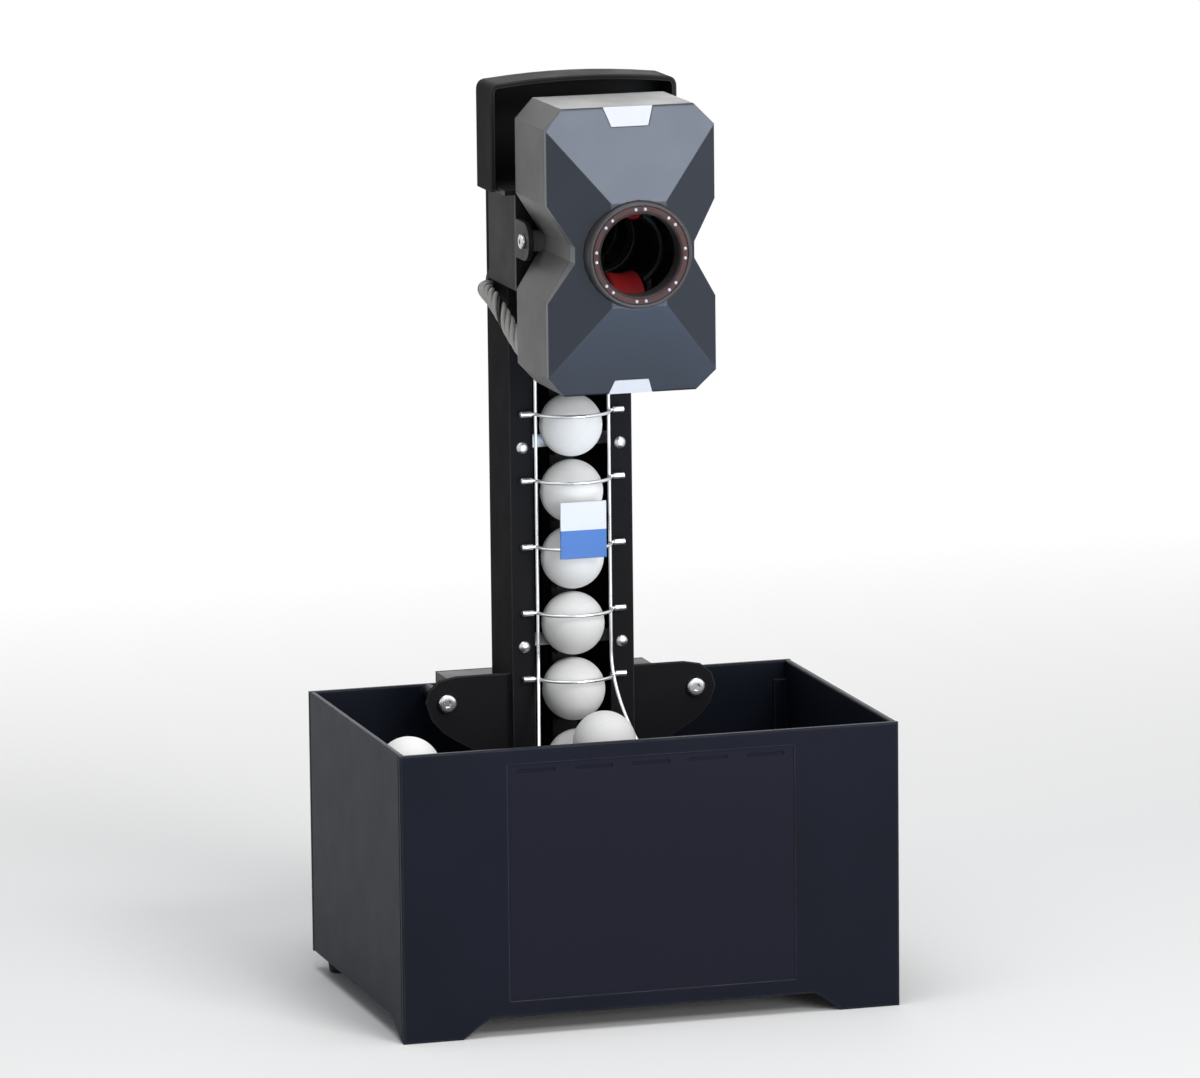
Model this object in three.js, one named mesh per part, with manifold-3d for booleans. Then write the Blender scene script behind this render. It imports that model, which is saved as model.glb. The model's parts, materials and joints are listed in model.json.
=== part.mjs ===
// Table tennis robot: a bin of balls, a belt lift in a mast, and a throwing head that turns and tilts.
//
// Millimetres, +Z up. The robot throws towards -Y and stands on the table at Z = 0. The origin is on
// the table, under the middle of the box that holds the whole robot. Inside the stand group, Y = 0 is
// the rear face of the bin. The yoke group has its origin on the turning axis and the head group on
// the tilting axis, both at the height of the throw.

import * as THREE from 'three';
import { mergeVertices } from 'three/addons/utils/BufferGeometryUtils.js';
import Module from 'manifold-3d';

const wasm = await Module();
wasm.setup();

// Driving sizes

const fit = { gap: 0.3, overrun: 2 };
const round = { fine: 28, plain: 16, small: 8, lamp: 6, uprightShare: 0.06 };
const ball = {
  diameter: 40, pitch: 42.3, lowest: 180.6, lifted: 5, sides: 14, rings: 8,
  funnelShare: 0.4, leanAcrossShare: 0.35, leanForwardShare: 2.2, cornerForwardShare: 4.9,
};
const throwHeight = 478;

const bin = {
  width: 320, depth: 220, height: 180, wall: 4, edge: 0.8,
  rise: 12, frontCutTop: 210, frontCutBottom: 244, sideCutRun: 27,
  flange: 8, flangeSheet: 1.5, flangeTop: 12,
  panelWidth: 184, panelMargin: 10, panelDepth: 0.6,
  slots: 5, slotLength: 24, slotHeight: 1.8, slotDepth: 1.4, slotDrop: 3.6,
};
const base = { sheet: 3, footRadius: 8, footTip: 6.5, footInset: 14 };
const tray = {
  wallTop: 137.5, rimTop: 133.2, footTop: 115.7, sheet: 2.5,
  rimHalf: 44, rimFront: 94, footHalf: 24, footFront: 76,
};
const housing = { width: 138, depth: 27, top: 182, wall: 2.5, cover: 3 };
const mast = {
  width: 80, front: 52, wall: 3, opening: 50, aboveThrow: 22, humpWidth: 28, humpDepth: 10.3,
  loomHole: 8, loomHoleY: -15, loomHoleDrop: 43,
};
const ear = {
  sheet: 3, front: 47, screwX: 82, screwZ: 175.5, standoff: 4.5, thread: 10, screwScale: 1.3,
  outline: [[39, 192], [75, 192], [86, 190], [93, 184], [95.5, 176], [92, 165], [85, 157], [78, 152],
    [66, 145], [60, 141], [58, 138], [39, 138]],
};
const belt = { width: 16, sheet: 1.5, foot: 75, reach: 14, root: 3.4, tip: 1.8, ballGap: 0.5 };
const pulley = { radius: 8, flange: 11, flangeSheet: 1.5, shaft: 3, upperDrop: 8, humpRoom: 3 };
const guide = {
  sheet: 2, width: 14, tab: 8, slipRoom: 1.2, endRoom: 16, lowerFixing: 209.3, upperFixing: 336.6, fixing: 32,
  stud: 2.2, rivet: 3.8, rivetHeight: 1.8,
};
const gearmotor = { gearRadius: 16, gearLength: 24, motorRadius: 14, motorLength: 31, cap: 5.6 };
const cage = {
  wire: 1.1, halfWidth: 24, foot: 33, stand: 3.3, rise: 8.5, front: 2.3, topDrop: 46, flareFrom: 205,
  flareOut: 13, flareForward: 44, hoopSteps: 8, flareSteps: 4, sides: 5,
};
const tag = { width: 30, height: 36, sheet: 1.5, drop: 5, bevel: 0.3 };
const bracket = { sheet: 3, rear: 22, front: 84, below: 37, above: 26, bar: 5, nose: 9, pin: 4, pinHead: 6 };
const elbow = {
  bore: 42, wall: 1.5, radius: 26, lead: 14, mouth: 6, earWidth: 12, earHeight: 12, earSheet: 2.5, steps: 6,
};
const yoke = {
  axis: 88, sheet: 3, wall: 16, armOutside: 50, armRadius: 12, plateWidth: 113.4, plateRear: 27.7,
  tongue: 10, window: 48, throat: 5, throatWall: 2,
};
const hood = {
  width: 121, depth: 32, above: 97, wall: 3, corner: 7, crown: 3, rear: 31, bevel: 0.6, curveSteps: 8,
};
const servo = { width: 20, length: 34, height: 36, shaftDepth: 8, rear: 27.4 };
const head = {
  width: 107, height: 177, chamferWidth: 11.5, chamferHeight: 12.5, pinch: 76, pinchHeight: 10,
  flareHeight: 60,
  behindAxis: 4, shellDepth: 63, wall: 2.5, noseDepth: 22, noseWidth: 35, noseHeight: 64, sideSwell: 5,
  boss: 6.6, axisGap: 36, slots: 4, slotFrom: 13, slotTo: 38,
};
const nozzle = {
  outer: 66, bore: 50.4, front: 25.5, depth: 14, lip: 1.5, ledCircle: 56.7, ledTrack: 3.4, ledTrackDepth: 1.5,
  ledSheet: 1.1, ledRadius: 1.1, ledPairs: 8, ledPairAngle: 12,
};
const light = {
  topWidth: 33.6, topFoot: 24, topHeight: 12, lowWidth: 30, lowFoot: 22, lowHeight: 9,
};
const barrel = { bore: 44, wall: 2, pastWheels: 14 };
const wheel = {
  radius: 30, waist: 1.4, width: 20, treadShare: 0.8, tyre: 7, web: 5, hub: 7, spokes: 5, spokeHole: 4,
  offset: 46, behindRim: 21, shaft: 1.6, room: 1.5,
};
const motor = {
  radius: 14, length: 32, from: 15, plate: 2.5, flange: 9, ring: 30, collar: 5, cap: 9, capDepth: 1.5,
};
const screw = { head: 4.6, headHeight: 2.6, shank: 2.4, socket: 1.6, socketDepth: 1.4 };
const inlet = { side: 13, depth: 11, bore: 3.4, pin: 1, x: -44, z: 36 };
const rocker = {
  frameWidth: 15, frameHeight: 21, width: 11.6, height: 17.6, lip: 1.6, depth: 10, proud: 3.4, tilt: 10,
  x: 44, z: 36,
};
const board = {
  width: 96, height: 84, sheet: 1.6, room: 3, z: 96, pillar: 2.7, pillarInset: 4, can: 5.3, canHeight: 8,
  canX: 24, canRise: 16, socketX: 24, socketWidth: 16, socketHeight: 6, socketDepth: 4, socketRise: 2,
  chip: 8, chipHeight: 1.6,
};
const vent = { count: 9, width: 56, height: 3, pitch: 8, z: 128 };
const loom = {
  radius: 5, sides: 10, steps: 26, tab: 8, tabRear: 10,
  fromThrow: [
    [-30, -13, -48], [-38, -15, -44.5], [-45, -20.5, -43.5], [-48, -32, -44], [-47.5, -46, -47.5],
    [-45, -60, -56], [-41, -72, -68], [-35, -82, -80], [-28, -88, -85], [-22, -92, -82], [-20, -96, -71],
    [-20, -100, -54], [-20, -104, -40],
  ],
};

// Places that several pieces share

const rockerTilt = THREE.MathUtils.degToRad(rocker.tilt);
const rockerReach = rocker.height / 2 - 3 * fit.gap;
const rearmost = housing.depth + rocker.proud * Math.cos(rockerTilt) + rockerReach * Math.sin(rockerTilt);
const standY = (bin.depth - rearmost) / 2;
const ballY = -mast.front;
const ballRadius = ball.diameter / 2;
const baseTop = bin.rise + base.sheet;
const mastRear = -bin.wall - fit.gap;
const humpRear = mastRear + mast.humpDepth;
const beltFace = ballY + ballRadius + belt.ballGap;
const pulleyY = beltFace + belt.sheet + fit.gap + pulley.radius;
const loopRadius = pulley.radius + fit.gap + belt.sheet / 2;
const upperZ = throwHeight - pulley.upperDrop;
const beltReach = 2 * (upperZ - belt.foot) + 2 * Math.PI * loopRadius;
const flights = Math.round(beltReach / ball.pitch);
const lowerZ = upperZ - (flights * ball.pitch - 2 * Math.PI * loopRadius) / 2;
const humpFoot = lowerZ - loopRadius - belt.reach - pulley.humpRoom;
const wireY = ballY - cage.stand;
const yokeY = -yoke.axis;
const headY = yokeY - head.axisGap;
const rimY = head.behindAxis - head.shellDepth;
const noseY = rimY - head.noseDepth;
const nozzleY = rimY - nozzle.front;
const wheelY = rimY + wheel.behindRim;
const headRear = head.behindAxis - head.wall - fit.gap;
const mastTop = throwHeight + mast.aboveThrow;
const bracketTop = throwHeight + bracket.above;
const bracketBottom = throwHeight - bracket.below;
const cageTop = throwHeight - cage.topDrop;
const hoops = Math.floor((cageTop - ball.lowest - cage.rise) / ball.pitch) + 1;
const plateLow = bracket.above + 2 * fit.gap;
const tongueTop = bracket.sheet + 2 * fit.gap + yoke.sheet - bracket.below;

// Finishes

function finish(color, roughness, metalness = 0) {
  return new THREE.MeshStandardMaterial({ color, roughness, metalness });
}

const navyGloss = finish(0x22242e, 0.25);
const greyPaint = finish(0x5c5c5b, 0.5, 0.2);
const darkPaint = finish(0x303238, 0.5, 0.2);
const blackPlastic = finish(0x18191b, 0.55);
const slatePlastic = finish(0x474e5c, 0.35);
const rubberBlack = finish(0x141414, 0.9);
const tyreRed = finish(0xa81c1e, 0.75);
const steel = finish(0xc4c6c8, 0.3, 0.9);
const wireSteel = finish(0xb5b7b8, 0.35, 0.8);
const whiteCelluloid = finish(0xf2f2f0, 0.4);
const beltGrey = finish(0x3a3b3d, 0.85);
const tagWhite = finish(0xe9edf2, 0.5);
const lightWhite = finish(0xe6ebf2, 0.4);
const ledWhite = finish(0xfff4ea, 0.3);
const loomGrey = finish(0x949490, 0.45);
const boardGreen = finish(0x1d5a38, 0.6);

// Solids from three.js geometry

function solid(geometry) {
  const bare = new THREE.BufferGeometry();
  bare.setAttribute('position', geometry.attributes.position);
  if (geometry.index) bare.setIndex(geometry.index);
  const merged = mergeVertices(bare);
  return new wasm.Manifold(new wasm.Mesh({
    numProp: 3,
    vertProperties: new Float32Array(merged.attributes.position.array),
    triVerts: new Uint32Array(merged.index.array),
  }));
}

function geometryOf(form) {
  const { vertProperties, triVerts } = form.getMesh();
  const geometry = new THREE.BufferGeometry();
  geometry.setAttribute('position', new THREE.BufferAttribute(new Float32Array(vertProperties), 3));
  geometry.setIndex(new THREE.BufferAttribute(new Uint32Array(triVerts), 1));
  const faceted = geometry.toNonIndexed();
  faceted.computeVertexNormals();
  return faceted;
}

function joined(forms) {
  return forms.reduce((sum, form) => sum.add(form));
}

function piece(name, form, material) {
  const mesh = new THREE.Mesh(geometryOf(form), material);
  mesh.name = name;
  return mesh;
}

// Turns a drawing plane so that its normal lies along an axis, keeping a right-handed frame
function facing(geometry, axis, along) {
  const turn = new THREE.Matrix4();
  if (axis === 'x') {
    turn.makeBasis(new THREE.Vector3(0, 1, 0), new THREE.Vector3(0, 0, 1), new THREE.Vector3(1, 0, 0));
    turn.setPosition(along, 0, 0);
  }
  if (axis === 'y') {
    turn.makeBasis(new THREE.Vector3(1, 0, 0), new THREE.Vector3(0, 0, 1), new THREE.Vector3(0, -1, 0));
    turn.setPosition(0, along, 0);
  }
  if (axis === 'z') turn.setPosition(0, 0, along);
  return geometry.applyMatrix4(turn);
}

function block(x, y, z) {
  const geometry = new THREE.BoxGeometry(x[1] - x[0], y[1] - y[0], z[1] - z[0]);
  geometry.translate((x[0] + x[1]) / 2, (y[0] + y[1]) / 2, (z[0] + z[1]) / 2);
  return solid(geometry);
}

function shapeOf(points) {
  return new THREE.Shape(points.map(([a, b]) => new THREE.Vector2(a, b)));
}

// An outline carried along an axis; X takes (Y, Z) outlines, Y takes (X, Z) and Z takes (X, Y)
function prism(outline, axis, [from, to], bevel = 0, curveSegments = round.small) {
  const shape = outline instanceof THREE.Shape ? outline : shapeOf(outline);
  const geometry = new THREE.ExtrudeGeometry(shape, {
    depth: to - from - 2 * bevel, curveSegments, bevelEnabled: bevel > 0, bevelSegments: 1,
    bevelSize: bevel, bevelThickness: bevel, bevelOffset: -bevel,
  });
  geometry.translate(0, 0, bevel);
  return solid(facing(geometry, axis, axis === 'y' ? to : from));
}

// A round bar or cone along an axis, at the other two coordinates in X, Y, Z order
function bar(axis, radius, [from, to], [a, b] = [0, 0], sides = round.plain, endRadius = radius) {
  const geometry = new THREE.CylinderGeometry(endRadius, radius, to - from, sides);
  geometry.translate(0, (from + to) / 2, 0);
  if (axis === 'x') geometry.rotateZ(-Math.PI / 2).translate(0, a, b);
  if (axis === 'y') geometry.translate(a, 0, b);
  if (axis === 'z') geometry.rotateX(Math.PI / 2).translate(a, b, 0);
  return solid(geometry);
}

// A closed profile of [radius, distance along the axis] pairs, turned about that axis
function turned(profile, axis, [a, b] = [0, 0], sides = round.fine) {
  const closed = [...profile, profile[0]].map(([radius, along]) => new THREE.Vector2(radius, along));
  const geometry = new THREE.LatheGeometry(closed, sides);
  if (axis === 'x') geometry.rotateZ(-Math.PI / 2).translate(0, a, b);
  if (axis === 'y') geometry.translate(a, 0, b);
  if (axis === 'z') geometry.rotateX(Math.PI / 2).translate(a, b, 0);
  const form = solid(geometry);
  return form.volume() < 0 ? solid(flipped(geometry)) : form;
}

function flipped(geometry) {
  const index = Array.from(geometry.index.array);
  for (let i = 0; i < index.length; i += 3) [index[i], index[i + 1]] = [index[i + 1], index[i]];
  geometry.setIndex(index);
  return geometry;
}

// A wire or tube along a curve
function swept(curve, shape, steps) {
  const geometry = new THREE.ExtrudeGeometry(shape, { steps, extrudePath: curve, bevelEnabled: false });
  return solid(geometry);
}

function circle(radius, sides) {
  const points = [];
  for (let i = 0; i < sides; i++) {
    const angle = 2 * Math.PI * i / sides;
    points.push([radius * Math.cos(angle), radius * Math.sin(angle)]);
  }
  return shapeOf(points);
}

// A solid between two four-sided frames that face along Y, each [half width, half height, Y]
function frustum([wide, tall, rear], [narrow, low, front]) {
  const corners = (w, h, y) => [[-w, y, -h], [w, y, -h], [w, y, h], [-w, y, h]];
  const positions = [...corners(wide, tall, rear), ...corners(narrow, low, front)].flat();
  const faces = [0, 3, 2, 0, 2, 1, 4, 5, 6, 4, 6, 7];
  for (let i = 0; i < 4; i++) {
    const j = (i + 1) % 4;
    faces.push(i, j, j + 4, i, j + 4, i + 4);
  }
  const geometry = new THREE.BufferGeometry();
  geometry.setAttribute('position', new THREE.Float32BufferAttribute(positions, 3));
  geometry.setIndex(faces);
  const form = solid(geometry);
  return form.volume() < 0 ? solid(flipped(geometry)) : form;
}

// Moves every edge of an outline inwards by a wall's thickness
function inset(points, wall) {
  const area = points.reduce((sum, [a, b], i) => {
    const [c, d] = points[(i + 1) % points.length];
    return sum + a * d - b * c;
  }, 0);
  const side = Math.sign(area) * wall;
  const lines = points.map(([a, b], i) => {
    const [c, d] = points[(i + 1) % points.length];
    const length = Math.hypot(c - a, d - b);
    return { at: [a - side * (d - b) / length, b + side * (c - a) / length], way: [c - a, d - b] };
  });
  return lines.map((line, i) => {
    const before = lines[(i + lines.length - 1) % lines.length];
    const cross = before.way[0] * line.way[1] - before.way[1] * line.way[0];
    const [u, v] = [line.at[0] - before.at[0], line.at[1] - before.at[1]];
    const t = (u * line.way[1] - v * line.way[0]) / cross;
    return [before.at[0] + t * before.way[0], before.at[1] + t * before.way[1]];
  });
}

function ordered(a, b) {
  return [Math.min(a, b), Math.max(a, b)];
}

// Adds the left half of an outline to its right half
function mirrored(points) {
  return [...points, ...points.map(([a, b]) => [-a, b]).reverse()];
}

// A pan-head screw: its head stands on a face and points along a direction, with a hex socket
function panScrew([x, y, z], [dx, dy, dz], shankLength, scale = 1) {
  const radius = screw.head * scale;
  const height = screw.headHeight * scale;
  const profile = [
    [0, -shankLength], [screw.shank * scale, -shankLength], [screw.shank * scale, fit.gap], [radius, fit.gap],
    [radius, height / 2], [radius / 2, height], [screw.socket * scale, height],
    [screw.socket * scale, height - screw.socketDepth * scale], [0, height - screw.socketDepth * scale],
  ];
  const points = profile.map(([r, along]) => new THREE.Vector2(r, along));
  const geometry = new THREE.LatheGeometry(points, round.small);
  const up = new THREE.Vector3(0, 1, 0);
  const turn = new THREE.Quaternion().setFromUnitVectors(up, new THREE.Vector3(dx, dy, dz));
  geometry.applyQuaternion(turn).translate(x, y, z);
  return solid(geometry);
}

// Bin

function binFront() {
  const [half, low, high] = [bin.width / 2, bin.frontCutBottom / 2, bin.frontCutTop / 2];
  const outline = mirrored([[high, bin.rise], [low, 0], [half, 0], [half, bin.height]]);
  const face = -bin.depth;
  let form = prism(outline, 'y', [face, face + bin.wall], bin.edge);
  const panel = bin.panelWidth / 2;
  const top = bin.height - bin.panelMargin;
  form = form.subtract(block([-panel, panel], [face - fit.overrun, face + bin.panelDepth],
    [bin.rise + bin.panelMargin, top]));
  const pitch = bin.panelWidth / bin.slots;
  const slotTop = top - bin.slotDrop;
  for (let i = 0; i < bin.slots; i++) {
    const x = (i - (bin.slots - 1) / 2) * pitch;
    form = form.subtract(block([x - bin.slotLength / 2, x + bin.slotLength / 2],
      [face - fit.overrun, face + bin.slotDepth], [slotTop - bin.slotHeight, slotTop]));
  }
  return piece('bin_front_panel', form, navyGloss);
}

// A side panel, with its front and rear edges folded inwards to meet the other panels
function binSide(name, side) {
  const front = -bin.depth + bin.wall + fit.gap;
  const rear = -bin.wall - fit.gap;
  const outline = [[front, 0], [front + bin.sideCutRun, bin.rise], [rear, bin.rise], [rear, bin.height],
    [front, bin.height]];
  const outer = side * bin.width / 2;
  const inner = outer - side * bin.wall;
  let form = prism(outline, 'x', ordered(outer, inner), bin.edge);
  for (const [from, to] of [[front, front + bin.flangeSheet], [rear - bin.flangeSheet, rear]]) {
    form = form.add(block(ordered(inner + side * bin.wall / 2, inner - side * bin.flange), [from, to],
      [baseTop + fit.gap, bin.height - bin.flangeTop]));
  }
  return piece(name, form, navyGloss);
}

// The back panel, slotted for the rear of the mast, with two standoffs that carry the mast's ears
function binBack() {
  const half = bin.width / 2;
  const slot = mast.humpWidth / 2 + fit.gap;
  let form = prism([[-half, bin.rise], [half, bin.rise], [half, bin.height], [-half, bin.height]], 'y',
    [-bin.wall, 0], bin.edge)
    .subtract(block([-slot, slot], [-bin.wall - fit.overrun, fit.overrun],
      [humpFoot - fit.gap, bin.height + fit.overrun]));
  const face = ear.sheet - ear.front + fit.gap;
  for (const side of [-1, 1]) {
    const at = [side * ear.screwX, ear.screwZ];
    form = form.add(bar('y', ear.standoff, [face, -bin.wall + bin.edge], at))
      .subtract(bar('y', screw.shank * ear.screwScale + fit.gap, [face - fit.overrun, face + ear.thread], at,
        round.small));
  }
  return piece('bin_back_panel', form, navyGloss);
}

function basePlate() {
  const x = bin.width / 2 - bin.wall - fit.gap;
  const form = block([-x, x], [-bin.depth + bin.wall + fit.gap, -bin.wall - fit.gap], [bin.rise, baseTop]);
  return piece('base_plate', form, darkPaint);
}

function foot(name, side, y) {
  const form = bar('z', base.footTip, [0, bin.rise - fit.gap], [0, 0], round.plain, base.footRadius);
  const mesh = piece(name, form, rubberBlack);
  mesh.position.set(side * (bin.width / 2 - base.footInset), y, 0);
  return mesh;
}

// A solid whose level rings of four corners each rise one above the other
function stacked(rings) {
  const positions = rings.flat(2);
  const last = 4 * (rings.length - 1);
  const faces = [0, 2, 1, 0, 3, 2, last, last + 1, last + 2, last, last + 2, last + 3];
  for (let r = 0; r < last; r += 4) {
    for (let i = 0; i < 4; i++) {
      const j = (i + 1) % 4;
      faces.push(r + i, r + j, r + j + 4, r + i, r + j + 4, r + i + 4);
    }
  }
  const geometry = new THREE.BufferGeometry();
  geometry.setAttribute('position', new THREE.Float32BufferAttribute(positions, 3));
  geometry.setIndex(faces);
  return solid(geometry);
}

// A shallow pan whose slopes lead the balls to a funnel in front of the mast
function ballTray() {
  const x = bin.width / 2 - bin.wall - fit.gap;
  const [front, rear] = [-bin.depth + bin.wall + fit.gap, -bin.wall - fit.gap];
  const ring = (half, from, to, z) => [[-half, from, z], [half, from, z], [half, to, z], [-half, to, z]];
  const pan = (drop) => stacked([
    ring(tray.footHalf, -tray.footFront, ballY, tray.footTop - drop),
    ring(tray.rimHalf, -tray.rimFront, ballY + fit.overrun, tray.rimTop - drop),
    ring(x, front, rear, tray.wallTop - drop),
  ]);
  const room = mast.width / 2 + fit.gap;
  let form = pan(tray.sheet).subtract(pan(0))
    .subtract(block([-room, room], [ballY - fit.gap, fit.overrun], [0, bin.height]));
  const [inner, fold] = [x - bin.flange - fit.gap, bin.flangeSheet + fit.gap];
  for (const side of [-1, 1]) {
    const across = ordered(side * inner, side * bin.width);
    form = form.subtract(block(across, [front - fit.overrun, front + fold], [0, bin.height]))
      .subtract(block(across, [rear - fold, rear + fit.overrun], [0, bin.height]));
  }
  return piece('ball_tray', form, darkPaint);
}

function earScrew(name, side) {
  const mesh = piece(name, panScrew([0, 0, 0], [0, -1, 0], ear.thread, ear.screwScale), steel);
  mesh.position.set(side * ear.screwX, -ear.front, ear.screwZ);
  return mesh;
}

// Rear housing

function rearHousing() {
  const half = housing.width / 2;
  const [front, rear] = [fit.gap, housing.depth - housing.cover - fit.gap];
  const wall = housing.wall;
  const slot = mast.humpWidth / 2 + fit.gap;
  const form = block([-half, half], [front, rear], [bin.rise, housing.top])
    .subtract(block([wall - half, half - wall], [front - fit.overrun, rear + fit.overrun],
      [bin.rise + wall, housing.top - wall]))
    .subtract(block([-slot, slot], [front - fit.overrun, humpRear + fit.gap],
      [housing.top - wall - fit.overrun, housing.top + fit.overrun]));
  return piece('rear_housing', form, blackPlastic);
}

function rearCover() {
  const [half, rear] = [housing.width / 2, housing.depth];
  let form = prism([[-half, bin.rise], [half, bin.rise], [half, housing.top], [-half, housing.top]], 'y',
    [rear - housing.cover, rear], bin.edge);
  const through = [rear - housing.cover - fit.overrun, rear + fit.overrun];
  for (let i = 0; i < vent.count; i++) {
    const z = vent.z + (i - (vent.count - 1) / 2) * vent.pitch;
    form = form.subtract(block([-vent.width / 2, vent.width / 2], through,
      [z - vent.height / 2, z + vent.height / 2]));
  }
  const sleeve = rocker.lip / 2 + fit.gap;
  const [w, h] = [rocker.width / 2 + sleeve, rocker.height / 2 + sleeve];
  const socket = inlet.side / 2 + fit.gap;
  form = form
    .subtract(block([rocker.x - w, rocker.x + w], through, [rocker.z - h, rocker.z + h]))
    .subtract(block([inlet.x - socket, inlet.x + socket], through, [inlet.z - socket, inlet.z + socket]));
  return piece('rear_cover', form, blackPlastic);
}

function powerInlet() {
  const rear = housing.depth;
  const half = inlet.side / 2;
  const form = block([inlet.x - half, inlet.x + half], [rear - inlet.depth, rear + fit.gap],
    [inlet.z - half, inlet.z + half])
    .subtract(bar('y', inlet.bore, [rear - inlet.depth + fit.overrun, rear + fit.overrun],
      [inlet.x, inlet.z]))
    .add(bar('y', inlet.pin, [rear - inlet.depth + fit.overrun / 2, rear - fit.gap], [inlet.x, inlet.z],
      round.small));
  return piece('power_inlet', form, blackPlastic);
}

function switchFrame() {
  const rear = housing.depth;
  const [fw, fh] = [rocker.frameWidth / 2, rocker.frameHeight / 2];
  const [w, h] = [rocker.width / 2, rocker.height / 2];
  const sleeve = rocker.lip / 2;
  const form = block([rocker.x - fw, rocker.x + fw], [rear + fit.gap, rear + rocker.lip],
    [rocker.z - fh, rocker.z + fh])
    .add(block([rocker.x - w - sleeve, rocker.x + w + sleeve], [rear - rocker.depth, rear + rocker.lip],
      [rocker.z - h - sleeve, rocker.z + h + sleeve]))
    .subtract(block([rocker.x - w, rocker.x + w],
      [rear - rocker.depth + rocker.lip, rear + fit.overrun + rocker.lip], [rocker.z - h, rocker.z + h]));
  return piece('switch_frame', form, blackPlastic);
}

// The rocker's two flats meet in a shallow V at its pivot; it rests with its lower end pressed in
function powerRocker() {
  const half = rocker.width / 2 - 2 * fit.gap;
  const valley = rocker.proud - rockerReach * Math.tan(rockerTilt);
  const outline = [[rocker.proud, rockerReach], [valley, 0], [rocker.proud, -rockerReach],
    [-rocker.lip, -rockerReach], [-rocker.proud, 0], [-rocker.lip, rockerReach]];
  const mesh = piece('power_rocker', prism(outline, 'x', [-half, half]), blackPlastic);
  mesh.position.set(rocker.x, housing.depth, rocker.z);
  mesh.rotation.x = -rockerTilt;
  return mesh;
}

// The board stands off the back panel on four pillars and carries a chip, two cans and two sockets
function controlBoard() {
  const front = humpRear + board.room;
  const rear = front + board.sheet;
  const root = rear - board.sheet / 2;
  const [half, low, high] = [board.width / 2, board.z - board.height / 2, board.z + board.height / 2];
  const parts = [block([-half, half], [front, rear], [low, high]),
    block([-board.chip, board.chip], [root, rear + board.chipHeight],
      [board.z - board.chip, board.z + board.chip])];
  for (const side of [-1, 1]) {
    for (const z of [low + board.pillarInset, high - board.pillarInset]) {
      const at = [side * (half - board.pillarInset), z];
      parts.push(bar('y', board.pillar, [fit.gap, root], at, round.small));
    }
    const socket = side * board.socketX;
    const socketLow = low + board.socketRise;
    parts.push(bar('y', board.can, [root, rear + board.canHeight],
      [side * board.canX, board.z + board.canRise]));
    parts.push(block([socket - board.socketWidth / 2, socket + board.socketWidth / 2],
      [root, rear + board.socketDepth], [socketLow, socketLow + board.socketHeight]));
  }
  return piece('control_board', joined(parts), boardGreen);
}

// Mast and lift

// Level section of the mast: open at the front for the balls, humped behind for the belt's return run
function mastSection() {
  const [half, lip, hump] = [mast.width / 2, mast.opening / 2, mast.humpWidth / 2];
  const wall = mast.wall;
  return mirrored([
    [hump - wall, humpRear - wall], [hump - wall, mastRear - wall], [half - wall, mastRear - wall],
    [half - wall, ballY + wall], [lip, ballY + wall], [lip, ballY], [half, ballY], [half, mastRear],
    [hump, mastRear], [hump, humpRear],
  ]);
}

// A folded column with an ear on each side that stands above the rim of the bin
function mastBody() {
  const half = mast.width / 2;
  const shaftHole = pulley.shaft + fit.gap;
  const across = [-mast.width, mast.width];
  let form = prism(mastSection(), 'z', [baseTop + fit.gap, mastTop])
    .subtract(block([-half, half], [mastRear, humpRear + fit.overrun], [0, humpFoot]))
    .subtract(bar('x', shaftHole, across, [pulleyY, upperZ], round.small))
    .subtract(bar('x', shaftHole, across, [pulleyY, lowerZ], round.small))
    .subtract(bar('x', mast.loomHole, [-mast.width, 0], [mast.loomHoleY, throwHeight - mast.loomHoleDrop]));
  for (const side of [-1, 1]) {
    const plate = ear.outline.map(([x, z]) => [side * x, z]);
    form = form.add(prism(plate, 'y', [-ear.front, ear.sheet - ear.front]))
      .subtract(bar('y', screw.shank * ear.screwScale + fit.gap, [-ear.front - fit.overrun, 0],
        [side * ear.screwX, ear.screwZ], round.small));
    for (const z of [guide.lowerFixing, guide.upperFixing]) {
      form = form.subtract(bar('y', guide.stud + fit.gap,
        [ballY - fit.overrun, ballY + mast.wall + fit.overrun], [side * guide.fixing, z], round.small));
    }
  }
  return piece('mast', form, greyPaint);
}

// The point and outward normal at a distance along the belt's loop, from the foot of its front run
function onLoop(distance) {
  const run = upperZ - lowerZ;
  const turn = Math.PI * loopRadius;
  const s = ((distance % (2 * run + 2 * turn)) + 2 * run + 2 * turn) % (2 * run + 2 * turn);
  if (s < run) return { y: pulleyY - loopRadius, z: lowerZ + s, angle: Math.PI };
  if (s < run + turn) {
    const angle = Math.PI - (s - run) / loopRadius;
    return { y: pulleyY + loopRadius * Math.cos(angle), z: upperZ + loopRadius * Math.sin(angle), angle };
  }
  if (s < 2 * run + turn) return { y: pulleyY + loopRadius, z: upperZ - (s - run - turn), angle: 0 };
  const angle = -(s - 2 * run - turn) / loopRadius;
  return { y: pulleyY + loopRadius * Math.cos(angle), z: lowerZ + loopRadius * Math.sin(angle), angle };
}

function beltLoop(radius) {
  const shape = new THREE.Shape();
  shape.absarc(pulleyY, upperZ, radius, 0, Math.PI, false);
  shape.absarc(pulleyY, lowerZ, radius, Math.PI, 2 * Math.PI, false);
  return shape;
}

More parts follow.
